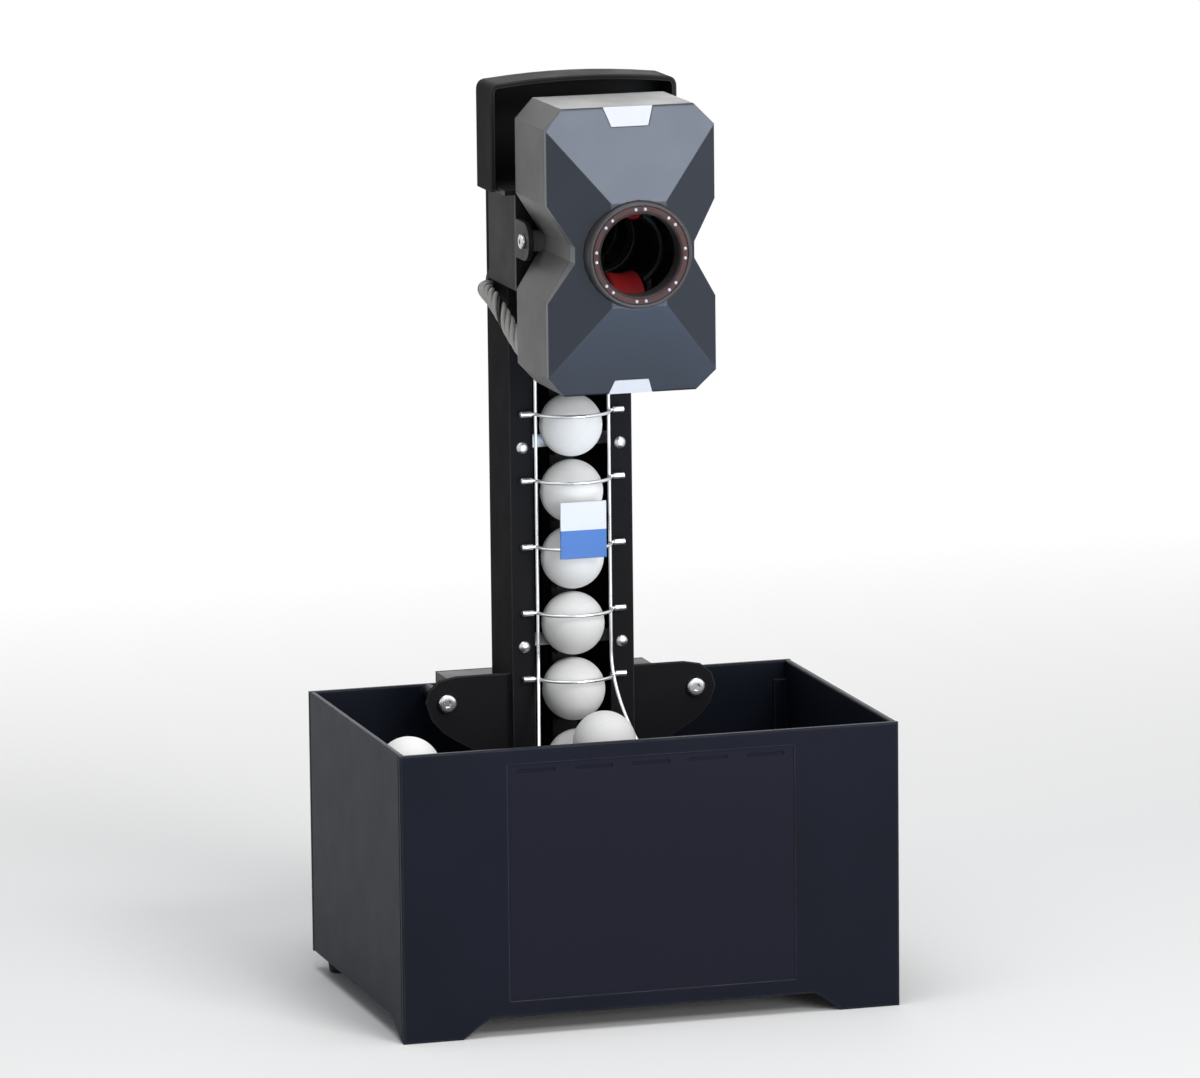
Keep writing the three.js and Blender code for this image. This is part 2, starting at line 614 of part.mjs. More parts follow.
function liftBelt() {
  const half = belt.width / 2;
  const outer = loopRadius + belt.sheet / 2;
  const inner = loopRadius - belt.sheet / 2;
  let form = prism(beltLoop(outer), 'x', [-half, half])
    .subtract(prism(beltLoop(inner), 'x', [-half - fit.overrun, half + fit.overrun]));
  const contact = Math.sqrt(ballRadius ** 2 - (ballRadius + belt.ballGap - belt.reach) ** 2);
  const phase = ball.lowest - contact - fit.gap - belt.tip / 2 - lowerZ;
  for (let i = 0; i < flights; i++) {
    const { y, z, angle } = onLoop(phase + i * ball.pitch);
    const flight = shapeOf([[0, -belt.root / 2], [belt.reach, -belt.tip / 2], [belt.reach, belt.tip / 2],
      [0, belt.root / 2]]);
    const geometry = new THREE.ExtrudeGeometry(flight, { depth: belt.width, bevelEnabled: false });
    facing(geometry, 'x', -half).rotateX(angle).translate(0, y, z);
    form = form.add(solid(geometry));
  }
  return piece('lift_belt', form, beltGrey);
}

function pulleyAt(name, z) {
  const half = belt.width / 2 + fit.gap;
  const flange = half + pulley.flangeSheet;
  const bore = pulley.shaft + fit.gap;
  const profile = [[bore, -flange], [pulley.flange, -flange], [pulley.flange, -half], [pulley.radius, -half],
    [pulley.radius, half], [pulley.flange, half], [pulley.flange, flange], [bore, flange]];
  const mesh = piece(name, turned(profile, 'x'), blackPlastic);
  mesh.position.set(0, pulleyY, z);
  return mesh;
}

function shaftAt(name, z, rightReach) {
  const mesh = piece(name, bar('x', pulley.shaft, [fit.gap - mast.width / 2, rightReach]), steel);
  mesh.position.set(0, pulleyY, z);
  return mesh;
}

// A slide strip behind the rising run of the belt, held by four studs riveted over the mast's lips
function beltGuide() {
  const face = beltFace + belt.sheet + guide.slipRoom;
  const back = face + guide.sheet;
  const half = guide.width / 2;
  let form = block([-half, half], [face, back], [lowerZ + guide.endRoom, upperZ - guide.endRoom]);
  const seat = ballY + mast.wall + fit.gap;
  const reach = mast.width / 2 - mast.wall - fit.gap;
  for (const z of [guide.lowerFixing, guide.upperFixing]) {
    const span = [z - guide.tab / 2, z + guide.tab / 2];
    form = form.add(block([-reach, reach], [face, back], span));
    for (const side of [-1, 1]) {
      const inner = side * (guide.fixing - guide.tab / 2);
      const at = [side * guide.fixing, z];
      form = form.add(block(ordered(side * reach, side * (reach - guide.sheet)), [seat, back], span))
        .add(block(ordered(side * reach, inner), [seat, seat + guide.sheet], span))
        .add(bar('y', guide.stud, [ballY - fit.overrun, seat + guide.sheet / 2], at, round.small))
        .add(bar('y', guide.rivet / 2, [ballY - fit.gap - guide.rivetHeight, ballY - fit.gap], at,
          round.small, guide.rivet));
    }
  }
  return piece('belt_guide', form, steel);
}

function liftGearmotor() {
  const face = mast.width / 2 + fit.gap;
  const waist = face + gearmotor.gearLength;
  const end = waist + gearmotor.motorLength;
  const form = bar('x', gearmotor.gearRadius, [face, waist])
    .add(bar('x', gearmotor.motorRadius, [waist - fit.overrun, end]))
    .add(bar('x', gearmotor.cap, [end - fit.overrun, end + fit.overrun]))
    .subtract(bar('x', pulley.shaft + fit.gap, [face - fit.overrun, face + gearmotor.gearLength / 2], [0, 0],
      round.small));
  const mesh = piece('lift_gearmotor', form, steel);
  mesh.position.set(0, pulleyY, lowerZ);
  return mesh;
}

// A hoop's line at a height: in from a foot on the mast's lip, round the front of the ball and out again
function hoopLine(z) {
  const depth = ballRadius + cage.front - cage.stand + cage.wire;
  const side = [[cage.foot, ballY - fit.gap], [cage.foot, wireY + cage.wire], [cage.foot - cage.wire, wireY],
    [cage.halfWidth + cage.wire, wireY]];
  const points = side.map(([x, y]) => [-x, y]);
  for (let k = 0; k <= cage.hoopSteps; k++) {
    const angle = Math.PI * k / cage.hoopSteps;
    points.push([-cage.halfWidth * Math.cos(angle), wireY - depth * Math.sin(angle)]);
  }
  return [...points, ...side.reverse()].map(([x, y]) => new THREE.Vector3(x, y, z));
}

// A long wire's line: straight down beside the balls, then out and forwards towards the tray
function longWireLine(side) {
  const x = side * cage.halfWidth;
  const foot = tray.rimTop + 3 * cage.wire;
  const line = [new THREE.Vector3(x, wireY, cageTop)];
  for (let k = 0; k <= cage.flareSteps; k++) {
    const t = k / cage.flareSteps;
    line.push(new THREE.Vector3(x + side * cage.flareOut * t * t, wireY - cage.flareForward * t * t,
      cage.flareFrom + (foot - cage.flareFrom) * t));
  }
  return line;
}

// Wire cage that keeps the rising balls in line
function guideCage() {
  const wire = circle(cage.wire, cage.sides);
  const lines = [longWireLine(-1), longWireLine(1)];
  for (let i = 0; i < hoops; i++) lines.push(hoopLine(ball.lowest + i * ball.pitch + cage.rise));
  return piece('guide_cage', joined(lines.map((line) => wireAlong(line, wire))), wireSteel);
}

// A tube through chosen points, with one ring of its section at each of them, square to the path
function wireAlong(path, shape) {
  const section = shape.extractPoints(1).shape;
  const rings = path.map((point, i) => {
    const ahead = path[Math.min(i + 1, path.length - 1)].clone().sub(path[Math.max(i - 1, 0)]).normalize();
    const side = new THREE.Vector3(0, 0, 1).cross(ahead);
    if (side.lengthSq() < round.uprightShare) side.set(1, 0, 0).cross(ahead);
    side.normalize();
    const up = ahead.clone().cross(side);
    return section.map(({ x, y }) => point.clone().addScaledVector(side, x).addScaledVector(up, y));
  });
  return ringsToSolid(rings);
}

function ringsToSolid(rings) {
  const count = rings[0].length;
  const positions = rings.flat().flatMap(({ x, y, z }) => [x, y, z]);
  const faces = [];
  const last = (rings.length - 1) * count;
  for (let i = 1; i < count - 1; i++) {
    faces.push(0, i + 1, i, last, last + i, last + i + 1);
  }
  for (let r = 0; r < rings.length - 1; r++) {
    for (let i = 0; i < count; i++) {
      const j = (i + 1) % count;
      const [a, b] = [r * count, (r + 1) * count];
      faces.push(a + i, a + j, b + j, a + i, b + j, b + i);
    }
  }
  const geometry = new THREE.BufferGeometry();
  geometry.setAttribute('position', new THREE.Float32BufferAttribute(positions, 3));
  geometry.setIndex(faces);
  const form = solid(geometry);
  return form.volume() < 0 ? solid(flipped(geometry)) : form;
}

function tagPlate() {
  const hoopFront = ballY - ballRadius - cage.front - 2 * cage.wire;
  const low = ball.lowest + 2 * ball.pitch + cage.rise - tag.drop;
  const form = prism([[-tag.width / 2, low], [tag.width / 2, low], [tag.width / 2, low + tag.height],
    [-tag.width / 2, low + tag.height]], 'y',
  [hoopFront - fit.gap - tag.sheet, hoopFront - fit.gap], tag.bevel);
  return piece('tag_plate', form, tagWhite);
}

function tableBall(name, x, y, z) {
  const form = solid(new THREE.SphereGeometry(ballRadius, ball.sides, ball.rings).rotateX(Math.PI / 2));
  const mesh = piece(name, form, whiteCelluloid);
  mesh.position.set(x, y, z);
  return mesh;
}

function liftedBalls() {
  const meshes = [];
  for (let i = 0; i < ball.lifted; i++) {
    meshes.push(tableBall('lifted_ball_' + (i + 1), 0, ballY, ball.lowest + i * ball.pitch));
  }
  return meshes;
}

// One ball waits in the funnel, one leans on it and one lies by the left wall
function looseBalls() {
  const floor = tray.footTop + ballRadius + fit.gap;
  const shelf = tray.rimTop + ballRadius + 2 * fit.gap;
  const wallX = bin.width / 2 - bin.wall - ballRadius - 2 * fit.gap;
  const slope = (tray.wallTop - tray.rimTop) / (bin.width / 2 - bin.wall - tray.rimHalf);
  const cornerZ = tray.rimTop + slope * (wallX - tray.rimHalf) + ballRadius + 2 * fit.gap;
  return [
    tableBall('funnel_ball', 0, ballY - ball.funnelShare * ballRadius, floor),
    tableBall('leaning_ball', ball.leanAcrossShare * ballRadius,
      ballY - ball.leanForwardShare * ballRadius, shelf),
    tableBall('corner_ball', -wallX, ballY - ball.cornerForwardShare * ballRadius, cornerZ),
  ];
}

// Carrier of the head

// Two cheeks beside the mast, a top plate over it and a bar in front carry the yoke's two pins
function headBracket() {
  const inner = mast.width / 2 + fit.gap;
  const outer = inner + bracket.sheet;
  const nose = (z) => block([-bracket.nose, bracket.nose], [yokeY, fit.overrun - bracket.front], z)
    .add(bar('z', bracket.nose, z, [0, yokeY], round.plain));
  const upper = [bracketTop - bracket.sheet, bracketTop];
  const lower = [bracketBottom, bracketBottom + bracket.sheet];
  const forms = [
    block([-outer, outer], [-bracket.front, mastRear], upper), nose(upper),
    block([-mast.humpWidth / 2, mast.humpWidth / 2], [mastRear - fit.overrun, humpRear], upper),
    block([-outer, outer], [-bracket.front, bracket.bar - bracket.front], lower), nose(lower),
  ];
  for (const side of [-1, 1]) {
    forms.push(block(ordered(side * inner, side * outer), [-bracket.front, -bracket.rear],
      [bracketBottom, bracketTop]));
  }
  const pinHole = bar('z', bracket.pin + fit.gap, [bracketBottom - fit.overrun, bracketTop + fit.overrun],
    [0, yokeY]);
  return piece('head_bracket', joined(forms).subtract(pinHole), greyPaint);
}

function lowerYawPin() {
  const from = bracketBottom - fit.gap;
  const form = bar('z', bracket.pin, [from - fit.overrun / 2, throwHeight + tongueTop + fit.overrun],
    [0, yokeY])
    .add(bar('z', bracket.pinHead, [from - fit.overrun, from], [0, yokeY]));
  return piece('lower_yaw_pin', form, steel);
}

function upperYawPin() {
  const plate = throwHeight + plateLow + yoke.sheet;
  const form = bar('z', bracket.pin, [bracketTop - bracket.sheet, plate + servo.shaftDepth - fit.overrun],
    [0, yokeY]);
  return piece('upper_yaw_pin', form, steel);
}

// A tube that turns the rising balls forwards, open at the back for the belt's flights
function feedElbow() {
  const outer = elbow.bore / 2 + elbow.wall;
  const inner = elbow.bore / 2;
  const start = throwHeight - elbow.radius - elbow.lead;
  const path = [new THREE.Vector3(0, ballY, start)];
  for (let k = 0; k <= elbow.steps; k++) {
    const angle = Math.PI / 2 * k / elbow.steps;
    path.push(new THREE.Vector3(0, ballY - elbow.radius * (1 - Math.cos(angle)),
      throwHeight - elbow.radius + elbow.radius * Math.sin(angle)));
  }
  path.push(new THREE.Vector3(0, ballY - elbow.radius - elbow.mouth, throwHeight));
  const tube = (radius) => alongBend(path, radius);
  const ear = outer + elbow.earWidth;
  const ears = block([-ear, ear], [ballY - fit.gap - elbow.earSheet, ballY - fit.gap],
    [start, start + elbow.earHeight]);
  const slot = pulley.flange + fit.gap;
  const form = tube(outer).add(ears).subtract(tube(inner))
    .subtract(block([-slot, slot], [ballY, 0], [start - fit.overrun, throwHeight + outer]));
  return piece('feed_elbow', form, blackPlastic);
}

// A round bar along a bend in the plane X = 0
function alongBend(path, radius) {
  const last = path.length - 1;
  const rings = path.map((point, i) => {
    const ahead = path[Math.min(i + 1, last)].clone().sub(path[Math.max(i - 1, 0)]).normalize();
    const side = new THREE.Vector3(1, 0, 0);
    const up = ahead.clone().cross(side);
    const ring = [];
    for (let k = 0; k < round.plain; k++) {
      const angle = 2 * Math.PI * k / round.plain;
      ring.push(point.clone().addScaledVector(side, radius * Math.cos(angle))
        .addScaledVector(up, radius * Math.sin(angle)));
    }
    return ring;
  });
  return ringsToSolid(rings);
}

// Yoke, which turns on the carrier

// Outline of an arm in the plane square to X, with a round end about the head's pivot
function armOutline(rear, pivot) {
  const arm = new THREE.Shape();
  arm.moveTo(rear, yoke.armRadius);
  arm.lineTo(rear, -yoke.armRadius);
  arm.lineTo(pivot, -yoke.armRadius);
  arm.absarc(pivot, 0, yoke.armRadius, -Math.PI / 2, Math.PI / 2, true);
  return arm;
}

// A cross wall with a throat for the balls, two arms for the head, a plate above and a tongue below
function yokeFrame() {
  const sheet = yoke.sheet;
  const [near, far] = [-yoke.wall, -yoke.wall - sheet];
  const [low, high] = [tongueTop - sheet, plateLow + sheet];
  const [outer, inner] = [yoke.armOutside, yoke.armOutside - sheet];
  const half = yoke.plateWidth / 2;
  const pivot = -head.axisGap;
  const arm = armOutline(far + sheet / 2, pivot);
  const throat = yoke.window / 2;
  const pinHole = bracket.pin + fit.gap;
  const [loomX] = loom.fromThrow[loom.fromThrow.length - 1];
  const form = block([-outer, outer], [far, near], [low, high])
    .add(block([-half, half], [far, yoke.plateRear], [plateLow, high]))
    .add(block([-yoke.tongue, yoke.tongue], [far, 0], [low, tongueTop]))
    .add(bar('z', yoke.tongue, [low, tongueTop]))
    .add(block([loomX - loom.tab, loomX + loom.tab], [far - sheet, -loom.tabRear], [low, tongueTop]))
    .add(prism(arm, 'x', [inner, outer]))
    .add(prism(arm, 'x', [-outer, -inner]))
    .add(bar('y', throat + yoke.throatWall, [near - sheet / 2, near + yoke.throat], [0, 0], round.fine))
    .subtract(bar('y', throat, [far - fit.overrun, near + yoke.throat + fit.overrun], [0, 0], round.fine))
    .subtract(bar('z', pinHole, [low - fit.overrun, tongueTop + fit.overrun]))
    .subtract(bar('z', pinHole, [plateLow - fit.overrun, high + fit.overrun]))
    .subtract(bar('x', screw.shank + 2 * fit.gap, [-mast.width, mast.width], [pivot, 0], round.small));
  return piece('yoke_frame', form, greyPaint);
}

function hoodOutline() {
  const half = hood.width / 2;
  const top = hood.above - hood.crown;
  const r = hood.corner;
  const shape = new THREE.Shape();
  shape.moveTo(-half, plateLow);
  shape.lineTo(half, plateLow);
  shape.lineTo(half, top - r);
  shape.quadraticCurveTo(half, top, half - r, top);
  shape.quadraticCurveTo(0, top + 2 * hood.crown, r - half, top);
  shape.quadraticCurveTo(-half, top, -half, top - r);
  return shape.getPoints(hood.curveSteps).map(({ x, y }) => [x, y]);
}

// A cover over the yoke, open at the front and below
function hoodCover() {
  const outline = hoodOutline();
  const [rear, front] = [hood.rear, hood.rear - hood.depth];
  const half = hood.width / 2 - hood.wall;
  const form = prism(outline, 'y', [front, rear], hood.bevel)
    .subtract(prism(inset(outline, hood.wall), 'y', [front - fit.overrun, rear - hood.wall]))
    .subtract(block([-half, half], [front - fit.overrun, rear - hood.wall],
      [plateLow - fit.overrun, plateLow + yoke.sheet * 2]));
  return piece('hood', form, darkPaint);
}

function yawServo() {
  const low = plateLow + yoke.sheet + fit.gap;
  const half = servo.width / 2;
  const form = block([-half, half], [servo.rear - servo.length, servo.rear], [low, low + servo.height])
    .subtract(bar('z', bracket.pin + fit.gap, [low - fit.overrun, low + servo.shaftDepth]));
  return piece('yaw_servo', form, blackPlastic);
}

// Throwing head, which tilts in the yoke

function headOutline() {
  const [half, tall] = [head.width / 2, head.height / 2];
  return mirrored([
    [half - head.chamferWidth, -tall], [half, head.chamferHeight - tall], [half, -head.flareHeight / 2],
    [head.pinch / 2, -head.pinchHeight / 2], [head.pinch / 2, head.pinchHeight / 2],
    [half, head.flareHeight / 2], [half, tall - head.chamferHeight], [half - head.chamferWidth, tall],
  ]);
}

function headShell() {
  const rear = head.behindAxis;
  const outline = headOutline();
  const boss = yoke.armOutside - yoke.sheet - fit.gap;
  const root = head.pinch / 2 - head.wall;
  let form = prism(outline, 'y', [rimY, rear])
    .subtract(prism(inset(outline, head.wall), 'y', [rimY - fit.overrun, rear - head.wall]))
    .subtract(bar('y', barrel.bore / 2, [rear - head.wall - fit.overrun, rear + fit.overrun], [0, 0],
      round.fine));
  for (const side of [-1, 1]) {
    const x = ordered(side * root, side * boss);
    form = form.add(bar('x', head.boss, x)).subtract(bar('x', screw.shank + fit.gap,
      [x[0] - fit.overrun, x[1] + fit.overrun]));
  }
  for (const side of [-1, 1]) {
    for (let i = 0; i < head.slots; i++) {
      const z = side * (head.height / 4 + (i - (head.slots - 1) / 2) * vent.pitch);
      form = form.subtract(block([head.slotFrom, head.slotTo], [0, rear + fit.overrun],
        [z - vent.height / 2, z + vent.height / 2]));
    }
  }
  return piece('head_shell', form, greyPaint);
}

// The nose: four slopes from the rim to the nozzle, trimmed by the head's waisted outline
function noseSkin() {
  const [half, tall] = [head.width / 2, head.height / 2];
  const [noseHalf, noseTall] = [head.noseWidth / 2, head.noseHeight / 2];
  const spread = head.sideSwell * (half - noseHalf) / (head.noseDepth - head.sideSwell);
  const rear = rimY - fit.gap;
  const form = (back) => frustum([half + spread, tall, rear + back], [noseHalf, noseTall, noseY + back]);
  const outline = headOutline();
  return form(0).intersect(prism(outline, 'y', [noseY - fit.overrun, rear + fit.overrun]))
    .subtract(form(head.wall).intersect(prism(inset(outline, head.wall), 'y',
      [noseY, rear + 2 * fit.overrun])))
    .subtract(block([-half, half], [rear, rear + 2 * fit.overrun], [-tall, tall]))
    .subtract(bar('y', nozzle.outer / 2 + fit.gap, [noseY - fit.overrun, rear + fit.overrun], [0, 0],
      round.fine));
}

// Trapezoid bars along Y, one above the nozzle and one below, that mark out the light windows
function windowBar(side, grow) {
  const [width, foot, height] = side > 0
    ? [light.topWidth, light.topFoot, light.topHeight]
    : [light.lowWidth, light.lowFoot, light.lowHeight];
  const edge = side * (head.height / 2 + fit.overrun);
  const tip = side * (head.height / 2 - height - grow);
  const outline = [[-width / 2 - grow, edge], [width / 2 + grow, edge], [foot / 2 + grow, tip],
    [-foot / 2 - grow, tip]];
  return prism(outline, 'y', [noseY - fit.overrun, rimY + fit.overrun]);
}

function noseFairing(skin) {
  return piece('nose_fairing', skin.subtract(windowBar(1, 0)).subtract(windowBar(-1, 0)), slatePlastic);
}

function lightWindow(name, skin, side) {
  return piece(name, skin.intersect(windowBar(side, -fit.gap)), lightWhite);
}

function nozzleRing() {
  const [outer, bore, lip] = [nozzle.outer / 2, nozzle.bore / 2, nozzle.lip];
  const back = nozzleY + nozzle.depth;
  const [track, half] = [nozzle.ledCircle / 2, nozzle.ledTrack / 2 + fit.gap];
  const floor = nozzleY + nozzle.ledTrackDepth;
  const profile = [
    [bore, back], [bore, nozzleY + lip], [bore + lip / 2, nozzleY],
    [track - half, nozzleY], [track - half, floor], [track + half, floor], [track + half, nozzleY],
    [outer - lip / 2, nozzleY], [outer, nozzleY + lip], [outer, back],
  ];
  return piece('nozzle_ring', turned(profile, 'y'), blackPlastic);
}

// A ring of small lamps in pairs, sunk in a groove of the nozzle
function ledRing() {
  const [track, half] = [nozzle.ledCircle / 2, nozzle.ledTrack / 2];
  const floor = nozzleY + nozzle.ledTrackDepth - fit.gap;
  const face = floor - nozzle.ledSheet;
  const profile = [[track - half, face], [track + half, face], [track + half, floor], [track - half, floor]];
  let form = turned(profile, 'y');
  for (let i = 0; i < nozzle.ledPairs; i++) {
    for (const side of [-1, 1]) {
      const angle = 2 * Math.PI * i / nozzle.ledPairs
        + side * THREE.MathUtils.degToRad(nozzle.ledPairAngle / 2);
      const at = [nozzle.ledCircle / 2 * Math.cos(angle), nozzle.ledCircle / 2 * Math.sin(angle)];
      form = form.add(bar('y', nozzle.ledRadius / 2, [face - nozzle.ledRadius, floor - nozzle.ledSheet / 2],
        at, round.lamp, nozzle.ledRadius));
    }
  }
  return piece('led_ring', form, ledWhite);
}

// A tube that leads the ball between the wheels, open above and below in front where they reach in
function ballBarrel() {
  const inner = barrel.bore / 2;
  const outer = inner + barrel.wall;
  const [rear, front] = [headRear, wheelY - barrel.pastWheels];
  let form = bar('y', outer, [front, rear], [0, 0], round.fine)
    .subtract(bar('y', inner, [front - fit.overrun, rear + fit.overrun], [0, 0], round.fine));
  const half = wheel.width / 2 + wheel.room;
  for (const side of [-1, 1]) {
    form = form.subtract(bar('x', wheel.radius + wheel.room, [-half, half], [wheelY, side * wheel.offset],
      round.fine));
  }
  return piece('ball_barrel', form, darkPaint);
}

// Two upright plates for the motors, joined by a flange that rings the barrel's rear end
function motorFrame() {
  const [near, far] = [motor.from - fit.gap - motor.plate, motor.from - fit.gap];
  const edge = head.height / 2 - head.wall - fit.gap;
  const front = rimY + fit.overrun;
  const flangeRear = [headRear - motor.plate, headRear];
  let form = block([near, far], [front, headRear], [-edge, edge])
    .add(block([near, far + motor.flange], flangeRear, [-edge, edge]))
    .add(block([-motor.ring, motor.ring], flangeRear, [-motor.ring, motor.ring]))
    .subtract(bar('y', barrel.bore / 2 + barrel.wall + fit.gap, [front - fit.overrun, headRear + fit.overrun],
      [0, 0], round.fine));
  for (const side of [-1, 1]) {
    form = form.subtract(bar('x', motor.collar + fit.gap, [near - fit.overrun, far + fit.overrun],
      [wheelY, side * wheel.offset]));
  }
  return piece('motor_frame', form, greyPaint);
}

function wheelMotor(name, side) {
  const end = motor.from + motor.length;
  const form = bar('x', motor.radius, [motor.from, end - motor.capDepth])
    .add(bar('x', motor.cap, [motor.from, end]))
    .add(bar('x', motor.collar, [motor.from - motor.plate, motor.from + fit.overrun]))
    .subtract(bar('x', wheel.shaft + fit.gap,
      [motor.from - motor.plate - fit.overrun, motor.from + motor.collar], [0, 0], round.small));
  const mesh = piece(name, form, steel);
  mesh.position.set(0, wheelY, side * wheel.offset);
  return mesh;
}

function pivotBolt(name, side) {
  const shank = yoke.armOutside - head.pinch / 2 + head.wall;
  const mesh = piece(name, panScrew([0, 0, 0], [side, 0, 0], shank), steel);
  mesh.position.set(side * yoke.armOutside, 0, 0);
  return mesh;
}

function wheelHub(name, side) {
  const [half, web] = [wheel.width / 2, wheel.web / 2];
  const rim = wheel.radius - wheel.tyre - fit.gap;
  const inner = rim - wheel.tyre / 2;
  const profile = [[0, -half], [wheel.hub, -half], [wheel.hub, -web], [inner, -web], [inner, -half],
    [rim, -half], [rim, half], [inner, half], [inner, web], [wheel.hub, web], [wheel.hub, half], [0, half]];
  const points = profile.map(([r, along]) => new THREE.Vector2(r, along));
  let form = solid(new THREE.LatheGeometry(points, round.fine).rotateZ(-Math.PI / 2));
  for (let i = 0; i < wheel.spokes; i++) {
    const angle = 2 * Math.PI * i / wheel.spokes;
    const at = [(inner + wheel.hub) / 2 * Math.cos(angle), (inner + wheel.hub) / 2 * Math.sin(angle)];
    form = form.subtract(bar('x', wheel.spokeHole, [-half, half], at, round.small));
  }
  form = form.add(bar('x', wheel.shaft, [-half - fit.gap, motor.from + motor.collar - fit.gap], [0, 0],
    round.small));
  const mesh = piece(name, form, blackPlastic);
  mesh.position.set(0, wheelY, side * wheel.offset);
  return mesh;
}

function wheelTyre(name, side) {
  const half = wheel.width / 2;
  const tread = half * wheel.treadShare;
  const inner = wheel.radius - wheel.tyre;
  const profile = [[inner, -half], [wheel.radius - wheel.waist / 2, -half], [wheel.radius, -tread],
    [wheel.radius - wheel.waist, 0], [wheel.radius, tread], [wheel.radius - wheel.waist / 2, half],
    [inner, half]];
  const mesh = piece(name, turned(profile, 'x'), tyreRed);
  mesh.position.set(0, wheelY, side * wheel.offset);
  return mesh;
}

// Cable loom from the side of the mast to the foot of the yoke

function cableLoom() {
  const route = loom.fromThrow.map(([x, y, z]) => new THREE.Vector3(x, y, throwHeight + z));
  const end = route[route.length - 1].clone();
  end.z = throwHeight + tongueTop - yoke.sheet - fit.gap;
  const curve = new THREE.CatmullRomCurve3([...route, end]);
  return piece('cable_loom', swept(curve, circle(loom.radius, loom.sides), loom.steps), loomGrey);
}

// The assembly

const skin = noseSkin();

const tiltingHead = new THREE.Group();
tiltingHead.position.set(0, headY - yokeY, 0);
tiltingHead.add(
  headShell(), noseFairing(skin), lightWindow('upper_light_window', skin, 1),
  lightWindow('lower_light_window', skin, -1), nozzleRing(), ledRing(), ballBarrel(), motorFrame(),
  wheelMotor('upper_wheel_motor', 1), wheelMotor('lower_wheel_motor', -1),
  pivotBolt('left_pivot_bolt', -1), pivotBolt('right_pivot_bolt', 1),
  wheelHub('upper_wheel_hub', 1), wheelTyre('upper_wheel_tyre', 1),
  wheelHub('lower_wheel_hub', -1), wheelTyre('lower_wheel_tyre', -1),
);

const turningYoke = new THREE.Group();
turningYoke.position.set(0, yokeY, throwHeight);
turningYoke.add(yokeFrame(), hoodCover(), yawServo(), tiltingHead);

const stand = new THREE.Group();
stand.position.set(0, standY, 0);
const footRear = -base.footInset;
const footFront = base.footInset + bin.wall - bin.depth;
stand.add(
  binFront(), binSide('bin_left_panel', -1), binSide('bin_right_panel', 1), binBack(), basePlate(),
  foot('front_left_foot', -1, footFront), foot('front_right_foot', 1, footFront),
  foot('rear_left_foot', -1, footRear), foot('rear_right_foot', 1, footRear), ballTray(),
  rearHousing(), rearCover(), powerInlet(), switchFrame(), powerRocker(), controlBoard(),
  mastBody(), earScrew('left_ear_screw', -1), earScrew('right_ear_screw', 1), liftBelt(), beltGuide(),
  pulleyAt('upper_pulley', upperZ), shaftAt('upper_shaft', upperZ, mast.width / 2 - fit.gap),
  pulleyAt('lower_pulley', lowerZ),
  shaftAt('lower_shaft', lowerZ, mast.width / 2 + gearmotor.gearLength / 3),
  liftGearmotor(), guideCage(), tagPlate(), ...liftedBalls(), ...looseBalls(),
  headBracket(), lowerYawPin(), upperYawPin(), feedElbow(), cableLoom(), turningYoke,
);

const robot = new THREE.Group();
robot.add(stand);

export default robot;
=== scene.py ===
"""Look of a table tennis robot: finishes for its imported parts, its round and wound pieces, light and camera.

Lengths are in metres unless a name ends in MM. Z is up and the robot throws towards -Y.
"""

import json

import bmesh
import bpy
import numpy as np
from bpy.props import FloatProperty, FloatVectorProperty, IntProperty, PointerProperty
from mathutils import Matrix, Vector


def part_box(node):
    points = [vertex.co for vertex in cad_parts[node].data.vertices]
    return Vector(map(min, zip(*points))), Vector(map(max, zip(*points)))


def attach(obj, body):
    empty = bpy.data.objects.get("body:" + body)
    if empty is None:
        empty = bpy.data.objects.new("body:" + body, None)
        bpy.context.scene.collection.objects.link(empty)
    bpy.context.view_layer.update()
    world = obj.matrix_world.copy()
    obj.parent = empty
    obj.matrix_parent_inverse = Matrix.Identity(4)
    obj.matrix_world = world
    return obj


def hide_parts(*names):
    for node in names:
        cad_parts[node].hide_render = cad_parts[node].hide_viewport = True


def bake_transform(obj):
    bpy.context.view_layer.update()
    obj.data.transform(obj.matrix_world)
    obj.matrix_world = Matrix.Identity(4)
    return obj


bl_info = {
    "name": "Table tennis robot look",
    "version": (1, 0, 0),
    "blender": (4, 5, 0),
    "location": "View3D > Sidebar > Robot",
    "description": "Dresses the packed parts of a table tennis robot and lights them",
    "category": "Object",
}

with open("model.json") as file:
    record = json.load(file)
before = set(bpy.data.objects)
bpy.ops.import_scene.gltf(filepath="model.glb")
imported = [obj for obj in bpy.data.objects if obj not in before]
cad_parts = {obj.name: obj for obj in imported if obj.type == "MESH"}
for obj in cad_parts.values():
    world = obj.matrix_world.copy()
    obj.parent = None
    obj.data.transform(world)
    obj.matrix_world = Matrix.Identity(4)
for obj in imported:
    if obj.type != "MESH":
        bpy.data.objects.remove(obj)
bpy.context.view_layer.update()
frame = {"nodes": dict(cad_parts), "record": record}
nodes = frame["nodes"]

MM = 0.001
TURN = 2 * np.pi
X_AXIS, Y_AXIS, Z_AXIS = np.eye(3)

BALL_NODES = [f"lifted_ball_{i}" for i in range(1, 6)] + ["funnel_ball", "leaning_ball", "corner_ball"]
FOOT_NODES = ["front_left_foot", "front_right_foot", "rear_left_foot", "rear_right_foot"]

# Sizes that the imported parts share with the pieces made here, in millimetres

